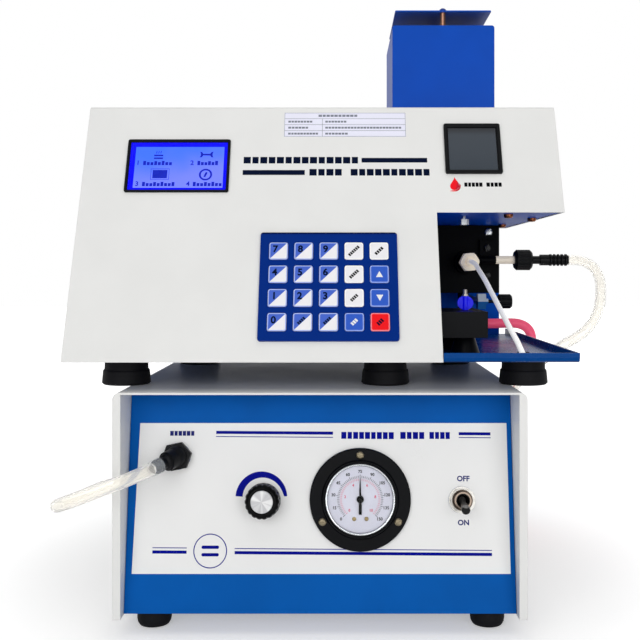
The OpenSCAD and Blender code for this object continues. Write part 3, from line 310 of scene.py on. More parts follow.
def ink(name, code, rough=0.4, mirror=0.04):
    """Print: a thin, even film that shines little."""
    return coat(name, code, rough, 0.7, 0.002, 0.05, mirror=mirror)


# %% The coats, mouldings and inks of this instrument
OFF_WHITE, SIGNAL_BLUE, SOOT = "#e7e7e5", "#0057aa", "#0c0d10"
housing_coat = coat("housing_coat", OFF_WHITE, 0.4, 0.9, 0.012, 0.012, edge=0.6, mirror=0.42)
blue_coat = coat("blue_coat", SIGNAL_BLUE, 0.45, 1.1, 0.012, 0.05, edge=0.5, mirror=0.05)
liner_coat = coat("liner_coat", "#0052c4", 0.34, 2.2, 0.02, 0.1, edge=0.5, mirror=0.02)
chimney_coat = coat("chimney_coat", "#0049b6", 0.36, 1.1, 0.01, 0.04, edge=0.6, mirror=0.1)
black_coat = coat("black_coat", SOOT, 0.36, 0.5, 0.01, 0.12, edge=0.4, mirror=0.08)
knob_gloss = coat("knob_gloss", "#030304", 0.26, 0.5, 0.004, 0.1, edge=0.2, mirror=0.1)
plate_coat = coat("plate_coat", "#050608", 0.5, 0.9, 0.012, 0.2, edge=0.3, mirror=0.05)
black_moulding = coat("black_moulding", SOOT, 0.4, 0.35, 0.012, 0.15, edge=0.3, mirror=0.14)
black_rubber = coat("black_rubber", "#131316", 0.62, 0.6, 0.03, 0.12, edge=0.4, mirror=0.14)
ivory_moulding = coat("ivory_moulding", "#fff2dc", 0.34, 0.8, 0.006, 0.03, 0.05, edge=0.3)
board_lacquer = coat("board_lacquer", "#1f6b3a", 0.35, 1.0, 0.01, 0.08)
dial_paint = coat("dial_paint", "#cfcedb", 0.5, 0.6, 0.003, 0.01)
label_film = coat("label_film", "#eeeeed", 0.3, 0.9, 0.002, 0.006, 0.08)
sticker_paper = coat("sticker_paper", "#ebebfa", 0.5, 0.4, 0.004, 0.01)
navy_ink = ink("navy_ink", "#000a8a")
word_ink = ink("word_ink", "#22286e")
title_ink = ink("title_ink", "#04102c")
black_ink = ink("black_ink", "#0c0c0f", 0.45)
grey_ink = ink("grey_ink", "#7a7e8c", 0.5, 0.15)
scale_red = ink("scale_red", "#d05a72", 0.5, 0.15)
print(len(bpy.data.materials), "finishes so far")

# %% [markdown]
# ## Metals
# Turned metal carries fine rings from the lathe and sheet metal carries straight brushing. Both are a
# noise that is stretched until it is a set of hair lines. Small fasteners of several metals are one piece
# of the model, so one finish changes its colour from place to place: a block of space for each colour.

# %% The recipe for metals


def inside_block(place, low, high, soft=0.25):
    """1 inside a block of space whose corners are in millimetres, depth counted from the front edge."""
    front = (0, front_edge / MM, 0)
    low, high = [tuple(v + f for v, f in zip(corner, front)) for corner in (low, high)]
    gaps = [(place.axis(i) - (a + b) / 2).magnitude() - (b - a) / 2
            for i, (a, b) in enumerate(zip(low, high))]
    return gaps[0].most(gaps[1]).most(gaps[2]).within(soft)


def metal(name, colour, rough, relief=0.004, patches=0.08, blocks=(), shine=1.0):
    """A brushed metal; shine is its metal share, patches how far stains darken it, and blocks are (low
    corner, high corner, colour, metal share) of other finishes, or of a painted reflection."""
    material, shader, place = new_finish(name)
    lines = (place * (0.12, 2.4, 2.4)).noise(1.0, 2.0)
    stain = place.noise(9.0, 3.0)
    spots = stain.rise(0.35, 0.75)
    tint = spots.blend(colour, shaded(colour, 1 - patches))
    share = shine
    for low, high, other, other_share in blocks:
        here = inside_block(place, low, high)
        tint = here.blend(tint, spots.blend(other, shaded(other, 1 - patches)))
        share = here * other_share + (1 - here) * share
    roughness = rough + (lines - 0.5) * 0.16 + (stain - 0.5) * 0.1
    fill_in(shader, {"Base Color": tint, "Roughness": roughness, "Normal": lines.bump(relief),
                     "Metallic": share})
    return material


# %% The metals, with the other finishes that share a piece with them and a painted reflection on the valve
STEEL, COPPER, BRASS, DARK = "#b4b7ba", "#96593a", "#c9a24a", "#101012"
bright_nickel = metal("bright_nickel", "#b8babd", 0.24, 0.002)
cast_alloy = metal("cast_alloy", "#8b8e92", 0.5, 0.01)
stud_copper = metal("stud_copper", "#a87c66", 0.32, blocks=[
    ((50, 100, 475.2), (160, 400, 480), "#223a86", 0.6)])
mixed_fasteners = metal("mixed_fasteners", STEEL, 0.3, blocks=[
    ((-25, -30, 35), (80, 60, 150), "#867c66", 0.9),
    ((130, 60, 283), (176, 228, 294), COPPER, 1.0),
    ((140, 215, 236), (158, 240, 277), DARK, 0.0)])
dull_brass = metal("dull_brass", "#8d7c5a", 0.4)
# painted reflection: the lower part of the valve is painted blue for the blue tray that it mirrors
valve_metal = metal("valve_metal", "#d8e2e8", 0.25, 0.002, shine=0.1, blocks=[
    ((60, -160, 200), (200, 320, 221.5), "#2c74bc", 0.1)])
print(len(bpy.data.materials), "finishes with the metals")

# %% Turned faces: the knob's cap, the switch's bush and its lever


def turned_finish(name, centre, tint_of, rough, relief):
    """A metal with lathe rings round a point of the lower panel; tint_of gives its colour and its metal
    share from the distance to that point and the way there."""
    material, shader, place = new_finish(name)
    across, up = lower_panel.read(place, *centre)
    flat = across.node("CombineXYZ", {}, {0: across, 1: up})
    radius = flat.length()
    side = flat.node("VectorMath", {"operation": "NORMALIZE"}, {0: flat})
    rings = radius.node("TexNoise", {"noise_dimensions": "1D"}, {"W": radius, "Scale": 5.0})
    tint, share = tint_of(radius, side)
    fill_in(shader, {"Base Color": tint, "Roughness": rough + (rings - 0.5) * 0.2,
                     "Normal": rings.bump(relief), "Metallic": share})
    return material


def cap_tint(radius, side):
    """Painted highlight: pale and grey wedges that fan out from the middle and stand for the reflections on
    a spun face.
    """
    # painted reflection: pale wedges set by the way out from the middle, not by any lamp
    fan = side.node("TexNoise", {}, {"Vector": side, "Scale": 1.7, "Detail": 1.5})
    return fan.rise(0.36, 0.64).blend("#bcbcbe", "#e0e0e0"), 0.35


def bush_tint(radius, side):
    """From the outside in: plated nut, brown thread, light ring, and a black disc of painted shade where the
    hole is.
    """
    tint = radius.rise(7.0, 7.4).blend("#554a42", "#c4c2bd")
    tint = radius.rise(5.6, 5.9).blend("#9c8c7e", tint)
    # painted shade: the hole in the bush is painted black
    tint = radius.rise(4.6, 5.0).blend("#0a0908", tint)
    return tint, radius.rise(4.6, 5.0)


def lever_tint(radius, side):
    """Grey shaft; its end, which stands furthest from the switch's middle, is black."""
    tint = radius.rise(3.6, 4.2).blend("#7c7a78", "#08090a")
    return tint, radius.rise(3.6, 4.2, 0.8, 0.0)


spun_cap = turned_finish("spun_cap", KNOB, cap_tint, 0.34, 0.012)
lever_metal = turned_finish("lever_metal", TOGGLE, lever_tint, 0.32, 0.001)
switch_bush = turned_finish("switch_bush", TOGGLE, bush_tint, 0.3, 0.004)
print("the cap's rings run round", [round(v, 1) for v in lower_panel.point(*KNOB)])

# %% [markdown]
# ## Glass, film and clear tube
# Glass needs little more than its transparency. The keypad film and the dark window only look like glass:
# they are glossy sheets with something dark under them, so the coat recipe does for both. The hoses are
# see-through too, but milky. Light soaks into such a plastic and comes out again somewhere else, and a
# little painted glow, a light of its own, stands for that; the drain hose and the ivory sprayer get one too.

# %% The recipe for clear things


def glowing(material, colour, strength):
    """Painted light: a plastic gets a little light of its own, which stands for what soaks in and comes out
    again and also brightens it.
    """
    shader = material.node_tree.nodes["Principled BSDF"]
    fill_in(shader, {"Emission Color": colour, "Emission Strength": strength})
    return material


def clear(name, colour, rough, through, index=1.45, solid=1.0, glow=0.0):
    """A see-through finish: through is the share of light that passes, index how far the wall bends it,
    solid how much of what is behind gets covered, glow a painted light of its own for what a milky wall
    scatters."""
    material, shader, place = new_finish(name, 0.5)
    haze = place.noise(14.0, 2.0)
    tint = haze.rise(0.3, 0.7).blend(colour, shaded(colour, 0.97))
    fill_in(shader, {"Base Color": tint, "Roughness": rough + (haze - 0.5) * 0.05,
                     "Transmission Weight": through, "IOR": index, "Alpha": solid})
    return glowing(material, colour, glow)


# %% Coats whose colour depends on the place
TRAY_SHEET = (185.6, 186.1)
HEM_BELOW_FRAME = (11.0, 17.5)
PAD_TOP_PAINTED_SHADOW = (39.0, 40.4)


def pane_tint(place):
    """A smoked pane that is darker in a strip under the top of its frame."""
    up = upper_panel.read(place, *WINDOW)[1]
    return up.rise(*HEM_BELOW_FRAME).blend("#373f48", "#23262c")


def tray_tint(place):
    """Blue paint on top and on the rims, grey primer under the sheet."""
    return place.axis(2).rise(*TRAY_SHEET).blend("#a9abad", "#00438a")


def pad_tint(place):
    """Navy film with a darker line of painted shadow along its top edge, where the film's raised edge casts
    one.
    """
    up = upper_panel.read(place, *PAD)[1]
    # painted shadow: a darker line along the film's top edge
    return up.rise(*PAD_TOP_PAINTED_SHADOW).blend("#002b80", "#04123c")


tray_coat = coat("tray_coat", tray_tint, 0.26, 2.0, 0.012, 0.06, edge=0.5, mirror=0.07)
smoked_pane = coat("smoked_pane", pane_tint, 0.14, 4.0, 0.002, 0.06, 0.3)
keypad_film = coat("keypad_film", pad_tint, 0.34, 0.8, 0.004, 0.03, mirror=0.06)
print("change with the place:", tray_coat.name, smoked_pane.name, keypad_film.name)

# %% Glass, hoses and the last mouldings
gauge_pane = clear("gauge_pane", (0.97, 0.98, 0.98), 0.03, 1.0, 1.2)
# glow on the milky tubes is a painted light of their own
milky_tube = clear("milky_tube", "#fffdf8", 0.1, 0.8, 1.28, glow=0.04)
sleeve_tube = clear("sleeve_tube", "#e8edf2", 0.08, 0.0, solid=0.16)
fine_tube = clear("fine_tube", "#fffefa", 0.25, 0.0, 1.35, glow=0.3)
# painted glow: the pink drain hose gets a light of its own that brightens it
rose_tube = coat("rose_tube", "#f45c80", 0.35, 1.5, 0.01, 0.05, 0.1)
glowing(rose_tube, "#f0506e", 0.22)
# painted light: the ivory sprayer gets a light of its own that lifts it out of the shade under the cover
glowing(ivory_moulding, "#fff0d8", 0.16)
handle_moulding = metal("handle_moulding", "#0000ff", 0.3, 0.002, 0.05, shine=0.0, blocks=[
    ((100, 66, 229.7), (115, 84, 240), "#a8a29a", 0.8)])
rear_black = metal("rear_black", DARK, 0.42, 0.004, 0.1, shine=0.0, blocks=[
    ((20, 280, 150), (40, 330, 320), BRASS, 1.0)])
print(len(bpy.data.materials), "finishes with the clear ones")

# %% [markdown]
# ## Give every rigid piece its finish
# The rigid pieces come with their shape ready, so each needs only a finish. A table of finishes and of the
# pieces that wear them is shorter than a line for every piece, and shows which pieces share a material.

# %% Finishes of the carried-over pieces


def dress(node, finish):
    """Gives a piece of the model its one finish."""
    materials = nodes[node].data.materials
    materials.clear()
    materials.append(finish)


WEARS = {
    housing_coat: ["compressor_shell", "main_cover", "rear_panel"],
    blue_coat: ["compressor_chassis"],
    liner_coat: ["bay_liner"],
    tray_coat: ["base_tray"],
    chimney_coat: ["chimney", "chimney_cap"],
    black_coat: ["gauge_case", "gauge_pointer", "gas_block", "optics_unit", "lcd_module"],
    plate_coat: ["burner_housing"],
    black_moulding: ["regulator_knob", "air_outlet", "hose_connector", "valve_knob", "lcd_bezel",
                     "window_frame"],
    black_rubber: ["compressor_feet", "photometer_feet"],
    ivory_moulding: ["nebuliser"],
    handle_moulding: ["tap_handle"],
    board_lacquer: ["circuit_boards"],
    dial_paint: ["gauge_dial"],
    bright_nickel: ["regulator"],
    switch_bush: ["toggle_switch"],
    lever_metal: ["toggle_lever"],
    valve_metal: ["needle_valve"],
    cast_alloy: ["air_pump"],
    stud_copper: ["cap_studs"],
    mixed_fasteners: ["screws"],
    rear_black: ["rear_fittings"],
    gauge_pane: ["gauge_glass"],
    smoked_pane: ["window_glass"],
    keypad_film: ["keypad_overlay"],
}
for finish, names in WEARS.items():
    for name in names:
        dress(name, finish)
print(sum(len(names) for names in WEARS.values()), "pieces have their finish; the keys come later")

# %% [markdown]
# ## Drawing flat and turned shapes
# Print, film and stickers are flat outlines with a hair of thickness, and knobs and rings are profiles spun
# round an axis. Both are gathered in one mesh per piece: a flat outline is filled by a two-dimensional
# curve, which also handles holes, and a profile becomes rings of corners that are joined into faces.

# %% Outlines, text and profiles gathered in one mesh
FILM = 0.05
CAPITAL_SHARE = 0.7


def circle(radius, x=0.0, s=0.0, steps=72):
    """A round outline as corners."""
    angles = [math.tau * i / steps for i in range(steps)]
    return [(x + radius * math.cos(a), s + radius * math.sin(a)) for a in angles]


def rectangle(width, height, x=0.0, s=0.0, corner=0.0):
    """A rectangle round x and s, with round corners if corner is given."""
    w, h = width / 2 - corner, height / 2 - corner
    if not corner:
        return [(x - w, s - h), (x + w, s - h), (x + w, s + h), (x - w, s + h)]
    turns = [(w, h, 0), (-w, h, 90), (-w, -h, 180), (w, -h, 270)]
    return [(x + cx + corner * math.cos(math.radians(start + 15 * i)),
             s + cy + corner * math.sin(math.radians(start + 15 * i)))
            for cx, cy, start in turns for i in range(7)]


class Drawing:
    """Shapes on one panel that end up as one piece."""

    def __init__(self, slope):
        self.slope = slope
        self.form = bmesh.new()

    def add(self, curve, matrix):
        """Fills a curve, sets it in its place and keeps only the mesh."""
        aid = bpy.data.objects.new("aid", curve)
        mesh = bpy.data.meshes.new_from_object(aid)
        mesh.transform(matrix)
        self.form.from_mesh(mesh)
        bpy.data.objects.remove(aid)
        bpy.data.curves.remove(curve)
        bpy.data.meshes.remove(mesh)

    def shape(self, *loops, spot=(0.0, 0.0), n=0.0, turn=0.0, thick=FILM):
        """A filled outline round a spot; loops inside the first one are its holes."""
        curve = bpy.data.curves.new("outline", "CURVE")
        curve.dimensions = "2D"
        curve.fill_mode = "BOTH"
        curve.extrude = thick / 2
        for loop in loops:
            spline = curve.splines.new("POLY")
            spline.points.add(len(loop) - 1)
            for point, (px, ps) in zip(spline.points, loop):
                point.co = (px, ps, 0, 1)
            spline.use_cyclic_u = True
        self.add(curve, self.slope.at(*spot, n + thick / 2, turn))

    def figure(self, text, spot, n, height, bold=0.0):
        """Digits or a switch's words, centred; height is that of a capital, bold a wider stroke."""
        curve = bpy.data.curves.new("figure", "FONT")
        curve.body = text
        curve.size = height / CAPITAL_SHARE
        curve.align_x = "CENTER"
        curve.align_y = "CENTER"
        curve.resolution_u = 4
        curve.extrude = FILM / 2
        curve.offset = bold
        self.add(curve, self.slope.at(*spot, n + FILM / 2))

    def turned(self, profile, spot=(0.0, 0.0), steps=72, lobes=0, depth=0.0, seat=None):
        """Spins a profile of (radius, n) round a spot, or round the z axis of a matrix. A third entry
        in a pair gives how much of the fluting reaches it; lobes and depth describe the fluting."""
        seat = seat or self.slope.at(*spot)
        rings = []
        for radius, n, *fluted in profile:
            ring = []
            for i in range(steps if radius else 1):
                angle = math.tau * i / steps
                dip = depth * (0.5 - 0.5 * math.cos(lobes * angle)) ** 2 * (fluted[0] if fluted else 0)
                reach = radius - dip
                corner = Vector((reach * math.cos(angle), reach * math.sin(angle), n))
                ring.append(self.form.verts.new(seat @ corner))
            rings.append(ring)
        for low, high in zip(rings, rings[1:]):
            for i in range(steps):
                j = (i + 1) % steps
                corners = [low[i % len(low)], low[j % len(low)], high[j % len(high)], high[i % len(high)]]
                self.form.faces.new(list(dict.fromkeys(corners)))

    def piece(self, name, finish, slot, body="instrument", stands_for=(), smooth=None):
        """One object of all the shapes, which rides on a body of the model; smooth is the angle in degrees
        up to which its edges look round."""
        bmesh.ops.recalc_face_normals(self.form, faces=self.form.faces)
        mesh = bpy.data.meshes.new(name)
        self.form.to_mesh(mesh)
        self.form.free()
        if smooth:
            mesh.shade_smooth()
            mesh.set_sharp_from_angle(angle=math.radians(smooth))
        mesh.materials.append(finish)
        made = placed(name, mesh)
        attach(made, body)
        if stands_for:
            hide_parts(*stands_for)
        print(name, "has", len(mesh.polygons), "faces")
        return made


print("a round outline has", len(circle(1)), "corners")

# %% [markdown]
# ## The white field of the lower panel
# On the real panel the blue sheet carries a white field with printed lines. Here it is a thin film with a
# hole for every fitting that passes through it, and the ink lies on top as a second film.

# %% White film with its holes
FIELD = 0.15
FIELD_OUTLINE = [(-129.3, 26.1), (130.5, 26.1), (130.5, 128.2), (-126.9, 128.2)]
white_field = Drawing(lower_panel)
HOLES = [(8.2, KNOB), (35.1, GAUGE), (9.35, TOGGLE), (9.2, OUTLET)]
white_field.shape(FIELD_OUTLINE, *[circle(radius, *middle) for radius, middle in HOLES], thick=FIELD)
white_field.piece("white_field", label_film, "white_paint")

# %% Navy lines on the white field, each a heavy one with a fine one beside it
LINE_TILT = -0.4
HEAVY, FINE = 2.1, 0.55
panel_print = Drawing(lower_panel)
LINES = [(-73.4, 8.6, 121.5, 118.6), (96.8, 119.1, 120.8, 118.1), (-115.6, -92, 40.6, 43.4),
         (-59, 118, 39.6, 42.3)]
for left, right, heavy_s, fine_s in LINES:
    for s, height in ((heavy_s, HEAVY), (fine_s, FINE)):
        line = rectangle(right - left, height)
        panel_print.shape(line, spot=((left + right) / 2, s), n=FIELD, turn=LINE_TILT)
print(len(LINES), "pairs of lines")

# %% A plain ring with two bars, and the swelling arc round the knob
RING_MARK = (-75.8, 41.3)
ARC_MIDDLE = (-41.1, 76.9)
ARC_END_CUT = 0.064
ARC_SWELLING = 0.32
panel_print.shape(circle(11.6), circle(10.9), spot=RING_MARK, n=FIELD)
for s in (-2.5, 2.5):
    panel_print.shape(rectangle(12, 2.2, s=s, corner=1.0), spot=RING_MARK, n=FIELD)


def swelling_arc(outer, left, right, steps=48):
    """A half ring that is thick at its left end and thin at its right end."""
    turns = [ARC_END_CUT + (math.pi - 2 * ARC_END_CUT) * i / steps for i in range(steps + 1)]
    inner = [(outer - right - (left - right) * (a / math.pi) ** ARC_SWELLING) for a in turns]
    return ([(outer * math.cos(a), outer * math.sin(a)) for a in turns]
            + [(r * math.cos(a), r * math.sin(a)) for a, r in reversed(list(zip(turns, inner)))])


panel_print.shape(swelling_arc(18.0, 5.0, 1.0), spot=ARC_MIDDLE, n=FIELD)
panel_print.piece("panel_print", navy_ink, "blue_paint")

# %% Words as rows of blocks, and the two words that a switch needs
BLOCK_SHARES = (0.86, 0.74, 0.84, 0.8)


def word_bars(drawing, left, right, s, height, pitch, n, tilt=0.0):
    """A row of short blocks that keeps the place and the weight of a line of words."""
    count = round((right - left) / pitch)
    step = (right - left) / count
    for i in range(count):
        width = step * BLOCK_SHARES[i % len(BLOCK_SHARES)]
        along = step * (i + 0.5) - (right - left) / 2
        spot = (left + right) / 2 + along, s + along * math.tan(math.radians(tilt))
        drawing.shape(rectangle(width, height), spot=spot, n=n, turn=tilt)


words = Drawing(lower_panel)
for left, right in ((14.1, 51.5), (55.5, 73), (76, 90.9)):
    word_bars(words, left, right, 119.6, 4.8, 4.0, FIELD, LINE_TILT)
words.piece("panel_words", navy_ink, "blue_paint")
small_words = Drawing(lower_panel)
word_bars(small_words, -105.9, -88.4, 121.1, 3.3, 2.7, FIELD)
small_words.figure("OFF", (99.3, 89.85), FIELD, 3.5, bold=0.16)
small_words.figure("ON", (98.9, 60.1), FIELD, 3.5, bold=0.16)
small_words.piece("switch_words", word_ink, "blue_paint")

# %% [markdown]
# ## The pressure gauge
# A panel gauge has a chrome ring inside its black flange, a printed dial with a black outer scale and a red
# inner one, and a flat glass. The scales are drawn as small blocks round a circle, which keeps every line
# sharp at any distance.

# %% The two scales of the dial
DIAL = 1.2
SWEEP = 135


def on_dial(radius, turn):
    """A spot on the dial; turn is in degrees from the top, against the clock."""
    angle = math.radians(90 + turn)
    return GAUGE[0] + radius * math.cos(angle), GAUGE[1] + radius * math.sin(angle)


def dial_scale(drawing, steps, low, high, wide, figures, radius, height, longer=0.0, every=1):
    """Ticks from a low to a high radius, some longer, and figures of a height on a ring of a radius."""
    for i in range(steps + 1):
        turn = SWEEP - 2 * SWEEP * i / steps
        top = high + (longer if i % every == 0 else 0)
        tick = rectangle(wide, top - low)
        drawing.shape(tick, spot=on_dial((low + top) / 2, turn), n=DIAL, turn=turn)
    for i, number in enumerate(figures):
        turn = SWEEP - 2 * SWEEP * i / (len(figures) - 1)
        drawing.figure(str(number), on_dial(radius, turn), DIAL, height, bold=0.09)


black_scale = Drawing(lower_panel)
dial_scale(black_scale, steps=60, low=14.4, high=16.0, wide=0.32, figures=range(0, 151, 15),
           radius=18.8, height=2.0, longer=0.8, every=6)
black_scale.piece("dial_figures", black_ink, "black_paint")
red_scale = Drawing(lower_panel)
dial_scale(red_scale, steps=50, low=12.6, high=14.1, wide=0.3, figures=range(0, 11, 2),
           radius=10.6, height=1.8)
red_scale.piece("dial_red_figures", scale_red, "white_paint")

# %% The chrome ring, and the two screws that hold the dial
gauge_ring = Drawing(lower_panel)
gauge_ring.turned([(23.85, 1.25), (22.9, 1.25), (22.5, 1.9), (22.6, 3.3), (23.1, 4.0), (23.85, 4.1),
                   (23.85, 1.25)], GAUGE, steps=96)
gauge_ring.piece("gauge_ring", bright_nickel, "bright_metal", smooth=40)
dial_screws = Drawing(lower_panel)
SCREW_HEAD = [(0, 1.2), (1.45, 1.2), (1.45, 1.6), (1.1, 1.95), (0, 2.05)]
for x in (-4.2, 4.3):
    dial_screws.turned(SCREW_HEAD, (GAUGE[0] + x, GAUGE[1] - 13.2), steps=24)
dial_screws.piece("dial_screws", dull_brass, "yellow_zinc", smooth=40)

# %% [markdown]
# ## The regulator's knob
# The knob is a glossy black grip with eighteen narrow flutes and a cap of spun aluminium. Both are turned
# from a profile, and each corner of a profile says how deep the flutes cut it. The fan of light on a spun
# face comes from its fine rings; pale wedges of painted highlight in its colour keep that fan in any light.

# %% Fluted grip and its cap
grip = Drawing(lower_panel)
grip.turned([(0, 1.6), (11.2, 1.6), (12.0, 2.3), (12.05, 3.2), (12.0, 4.2, 1), (11.9, 13.2, 1),
             (11.5, 14.9, 0.8), (10.6, 16.2, 0.5), (9.2, 16.9), (8.3, 17.0), (7.8, 16.6), (0, 16.6)],
            KNOB, steps=216, lobes=18, depth=0.55)
grip.piece("knob_grip", knob_gloss, "black_plastic", "regulator_knob", ["regulator_knob"], smooth=50)
knob_cap = Drawing(lower_panel)
knob_cap.turned([(0, 16.5), (7.6, 16.5), (7.6, 17.3), (7.3, 17.7), (0, 17.9)], KNOB, steps=96)
knob_cap.piece("knob_cap", spun_cap, "bright_metal", "regulator_knob", smooth=30)

# %% [markdown]
# ## The display
# The display is lit from behind: a saturated blue border that nothing covers, and a paler field where the
# cells are. A lit thing needs light of its own, so part of its colour goes to emission, with a gloss on it.

# %% A finish that is lit from behind


def outline_distance(across, up, half_width, half_height, corner):
    """Distance in millimetres to the outline of a round-cornered rectangle, negative inside it."""
    dx = across.magnitude() - (half_width - corner)
    dy = up.magnitude() - (half_height - corner)
    beyond = dx.node("CombineXYZ", {}, {0: dx.most(0), 1: dy.most(0)})
    return beyond.length() + dx.most(dy).least(0) - corner


def lit(name, tint_of, glow):
    """A finish whose colour is partly its own light; tint_of makes the colour from x and s."""
    material, shader, place = new_finish(name, 0.15)
    across, up = upper_panel.read(place, *DISPLAY)
    tint = tint_of(place, across, up)
    roughness = 0.22 + (place.noise(20) - 0.5) * 0.1
    fill_in(shader, {"Base Color": tint, "Emission Color": tint, "Roughness": roughness,
                     "Emission Strength": glow})
    return material


CELLS_MIDDLE = (0.8, -1.1)
CELLS_HALF = (33.0, 17.2)


def field_tint(place, across, up):
    """A saturated border, and inside it a paler field with a painted reflection that runs from corner to
    corner, mottled by noise.
    """
    cells = outline_distance(across - CELLS_MIDDLE[0], up - CELLS_MIDDLE[1], *CELLS_HALF, 0.3)
    # painted reflection: a diagonal sweep of paler blue across the cells, with random mottle
    painted_reflection = (across * 0.008 - up * 0.028 + place.noise(22.0, 1.0) * 0.6 + 0.2).rise(0, 1)
    pale = painted_reflection.blend("#3a68f6", "#6c79fa")
    return cells.within(0.15).blend("#0000e6", pale)


def mark_tint(place, across, up):
    """Dark blue with a hardly visible grain."""
    return place.noise(3.0).blend("#0c1ca0", "#1426b8")


display_field = lit("display_field", field_tint, 0.4)
display_ink = lit("display_ink", mark_tint, 0.3)
print("lit finishes:", display_field.name, display_ink.name)

# %% The display's face and the four menu places with their digits
FACE, FACE_FILM = 0.2, 0.1
display_face = Drawing(upper_panel)
display_face.shape(rectangle(72.3, 39.8), spot=DISPLAY, n=FACE, thick=FACE_FILM)
display_face.piece("display_face", display_field, "display_blue")
marks = Drawing(upper_panel)


def mark(*loops, spot, turn=0.0):
    """A mark on the display's face; its spot counts from the display's middle."""
    spot = DISPLAY[0] + spot[0], DISPLAY[1] + spot[1]
    marks.shape(*loops, spot=spot, n=FACE + FACE_FILM, turn=turn)


LETTER_PITCH = 2.7
LETTER_HEIGHTS = (3.6, 2.6, 2.5, 3.4, 2.6)
LABELS = [("1", -29.9, -26.4, -4.4, 2.5), ("2", 10.3, 14.0, 29.8, 2.5), ("3", -29.4, -25.8, -1.4, -15.1),
          ("4", 8.2, 11.6, 33.4, -15.1)]
for text, x, left, right, s in LABELS:
    marks.figure(text, (DISPLAY[0] + x, DISPLAY[1] + s), FACE + FACE_FILM, 3.7, bold=0.12)
    count = round((right - left) / LETTER_PITCH)
    for i in range(count):
        tall = LETTER_HEIGHTS[i % len(LETTER_HEIGHTS)]
        mark(rectangle(2.1, tall), spot=(left + (right - left) * (i + 0.5) / count, s - 1.85 + tall / 2))

# %% Four plain signs over the menu places: a burner, a tile, a dial and a spanner
BURNER_X, TILE, ROUND_SIGN, SPANNER = -15, (-13, -6.9), (20.8, -7.3), (20.8, 9.6)
for s in (6.5, 8.9):
    mark(rectangle(6.8, 1.3), spot=(BURNER_X, s))
for away in (-1.6, 0, 1.6):
    mark(rectangle(0.5, 2.2), spot=(BURNER_X + away, 11.6), turn=-12)
mark(rectangle(10.8, 6.9), spot=TILE)
mark(rectangle(13.7, 9.2), rectangle(13.1, 8.6), spot=TILE)
mark(circle(4.9), circle(3.5), spot=ROUND_SIGN)
mark(rectangle(1.5, 4.2), spot=ROUND_SIGN, turn=-22)
mark(rectangle(6.4, 1.5), spot=SPANNER)
FORK = [(2.6, 0.7), (3.5, 2.2), (5.1, 2.4), (4.4, 0.9), (4.4, -0.9), (5.1, -2.4), (3.5, -2.2), (2.6, -0.7)]
for side in (-1, 1):
    mark([(side * x, s) for x, s in FORK], spot=SPANNER)
marks.piece("display_marks", display_ink, "display_blue")

# %% [markdown]
# ## Twenty keys on a film
# Each key moves by itself, but they all carry the same kind of print: a pale line round the key, and on the
# digit keys and the two beside the 0 a field that is split along the diagonal. The keys stand on an even
# pitch, so folding the coordinates by that pitch lets one mask serve every key.

# %% Key finishes
PITCH, KEY_SIZE, KEY_TOP = 17.9, 13.2, 2.2
RIM, RIM_CORNER = 0.75, 1.1
ROWS_LOW = 0.5


def key_finish(name, tint_of, rim):
    """A key's film: rim is the colour of its outer line, tint_of makes the field inside it."""
    material, shader, place = new_finish(name)
    across, up = upper_panel.read(place, PAD[0] - 2.5 * PITCH, PAD[1] - ROWS_LOW - 2 * PITCH)
    across, up = [v.sum_with("FLOORED_MODULO", v, PITCH) - PITCH / 2 for v in (across, up)]
    half = KEY_SIZE / 2 - RIM
    line = outline_distance(across, up, half, half, RIM_CORNER).within(0.1)
    grain = place.noise(1.2)
    fill_in(shader, {"Base Color": line.blend(rim, tint_of(across, up)),
                     "Roughness": 0.3 + (grain - 0.5) * 0.1,
                     "Normal": (0.4 * grain + 0.6 * line).bump(0.01)})
    return material


WHITE_FILM, MID_BLUE = "#f0eff2", "#4566cc"


def plain(tint):
    """A field of one colour that darkens a little to the left."""
    return lambda across, up: (across * 0.02 + 0.5).rise(0, 1).blend(shaded(tint, 0.97), tint)


def split(across, up):
    """Blue above the diagonal, where the digit stands, and white below it."""
    return (up - across).rise(-0.12, 0.12).blend(WHITE_FILM, MID_BLUE)


key_split = key_finish("key_split", split, "#b4c2f4")
key_white = key_finish("key_white", plain(WHITE_FILM), "#ffffff")
key_blue = key_finish("key_blue", plain("#2f5cc8"), "#9db2f2")
key_red = key_finish("key_red", plain("#f40a16"), "#ff8f98")
KEYS = ["7", "8", "9", "recall", "read", "4", "5", "6", "menu", "up", "1", "2", "3", "det", "down",
        "0", "del", "set", "print", "reset"]
print("keys found:", all("key_" + key in nodes for key in KEYS))

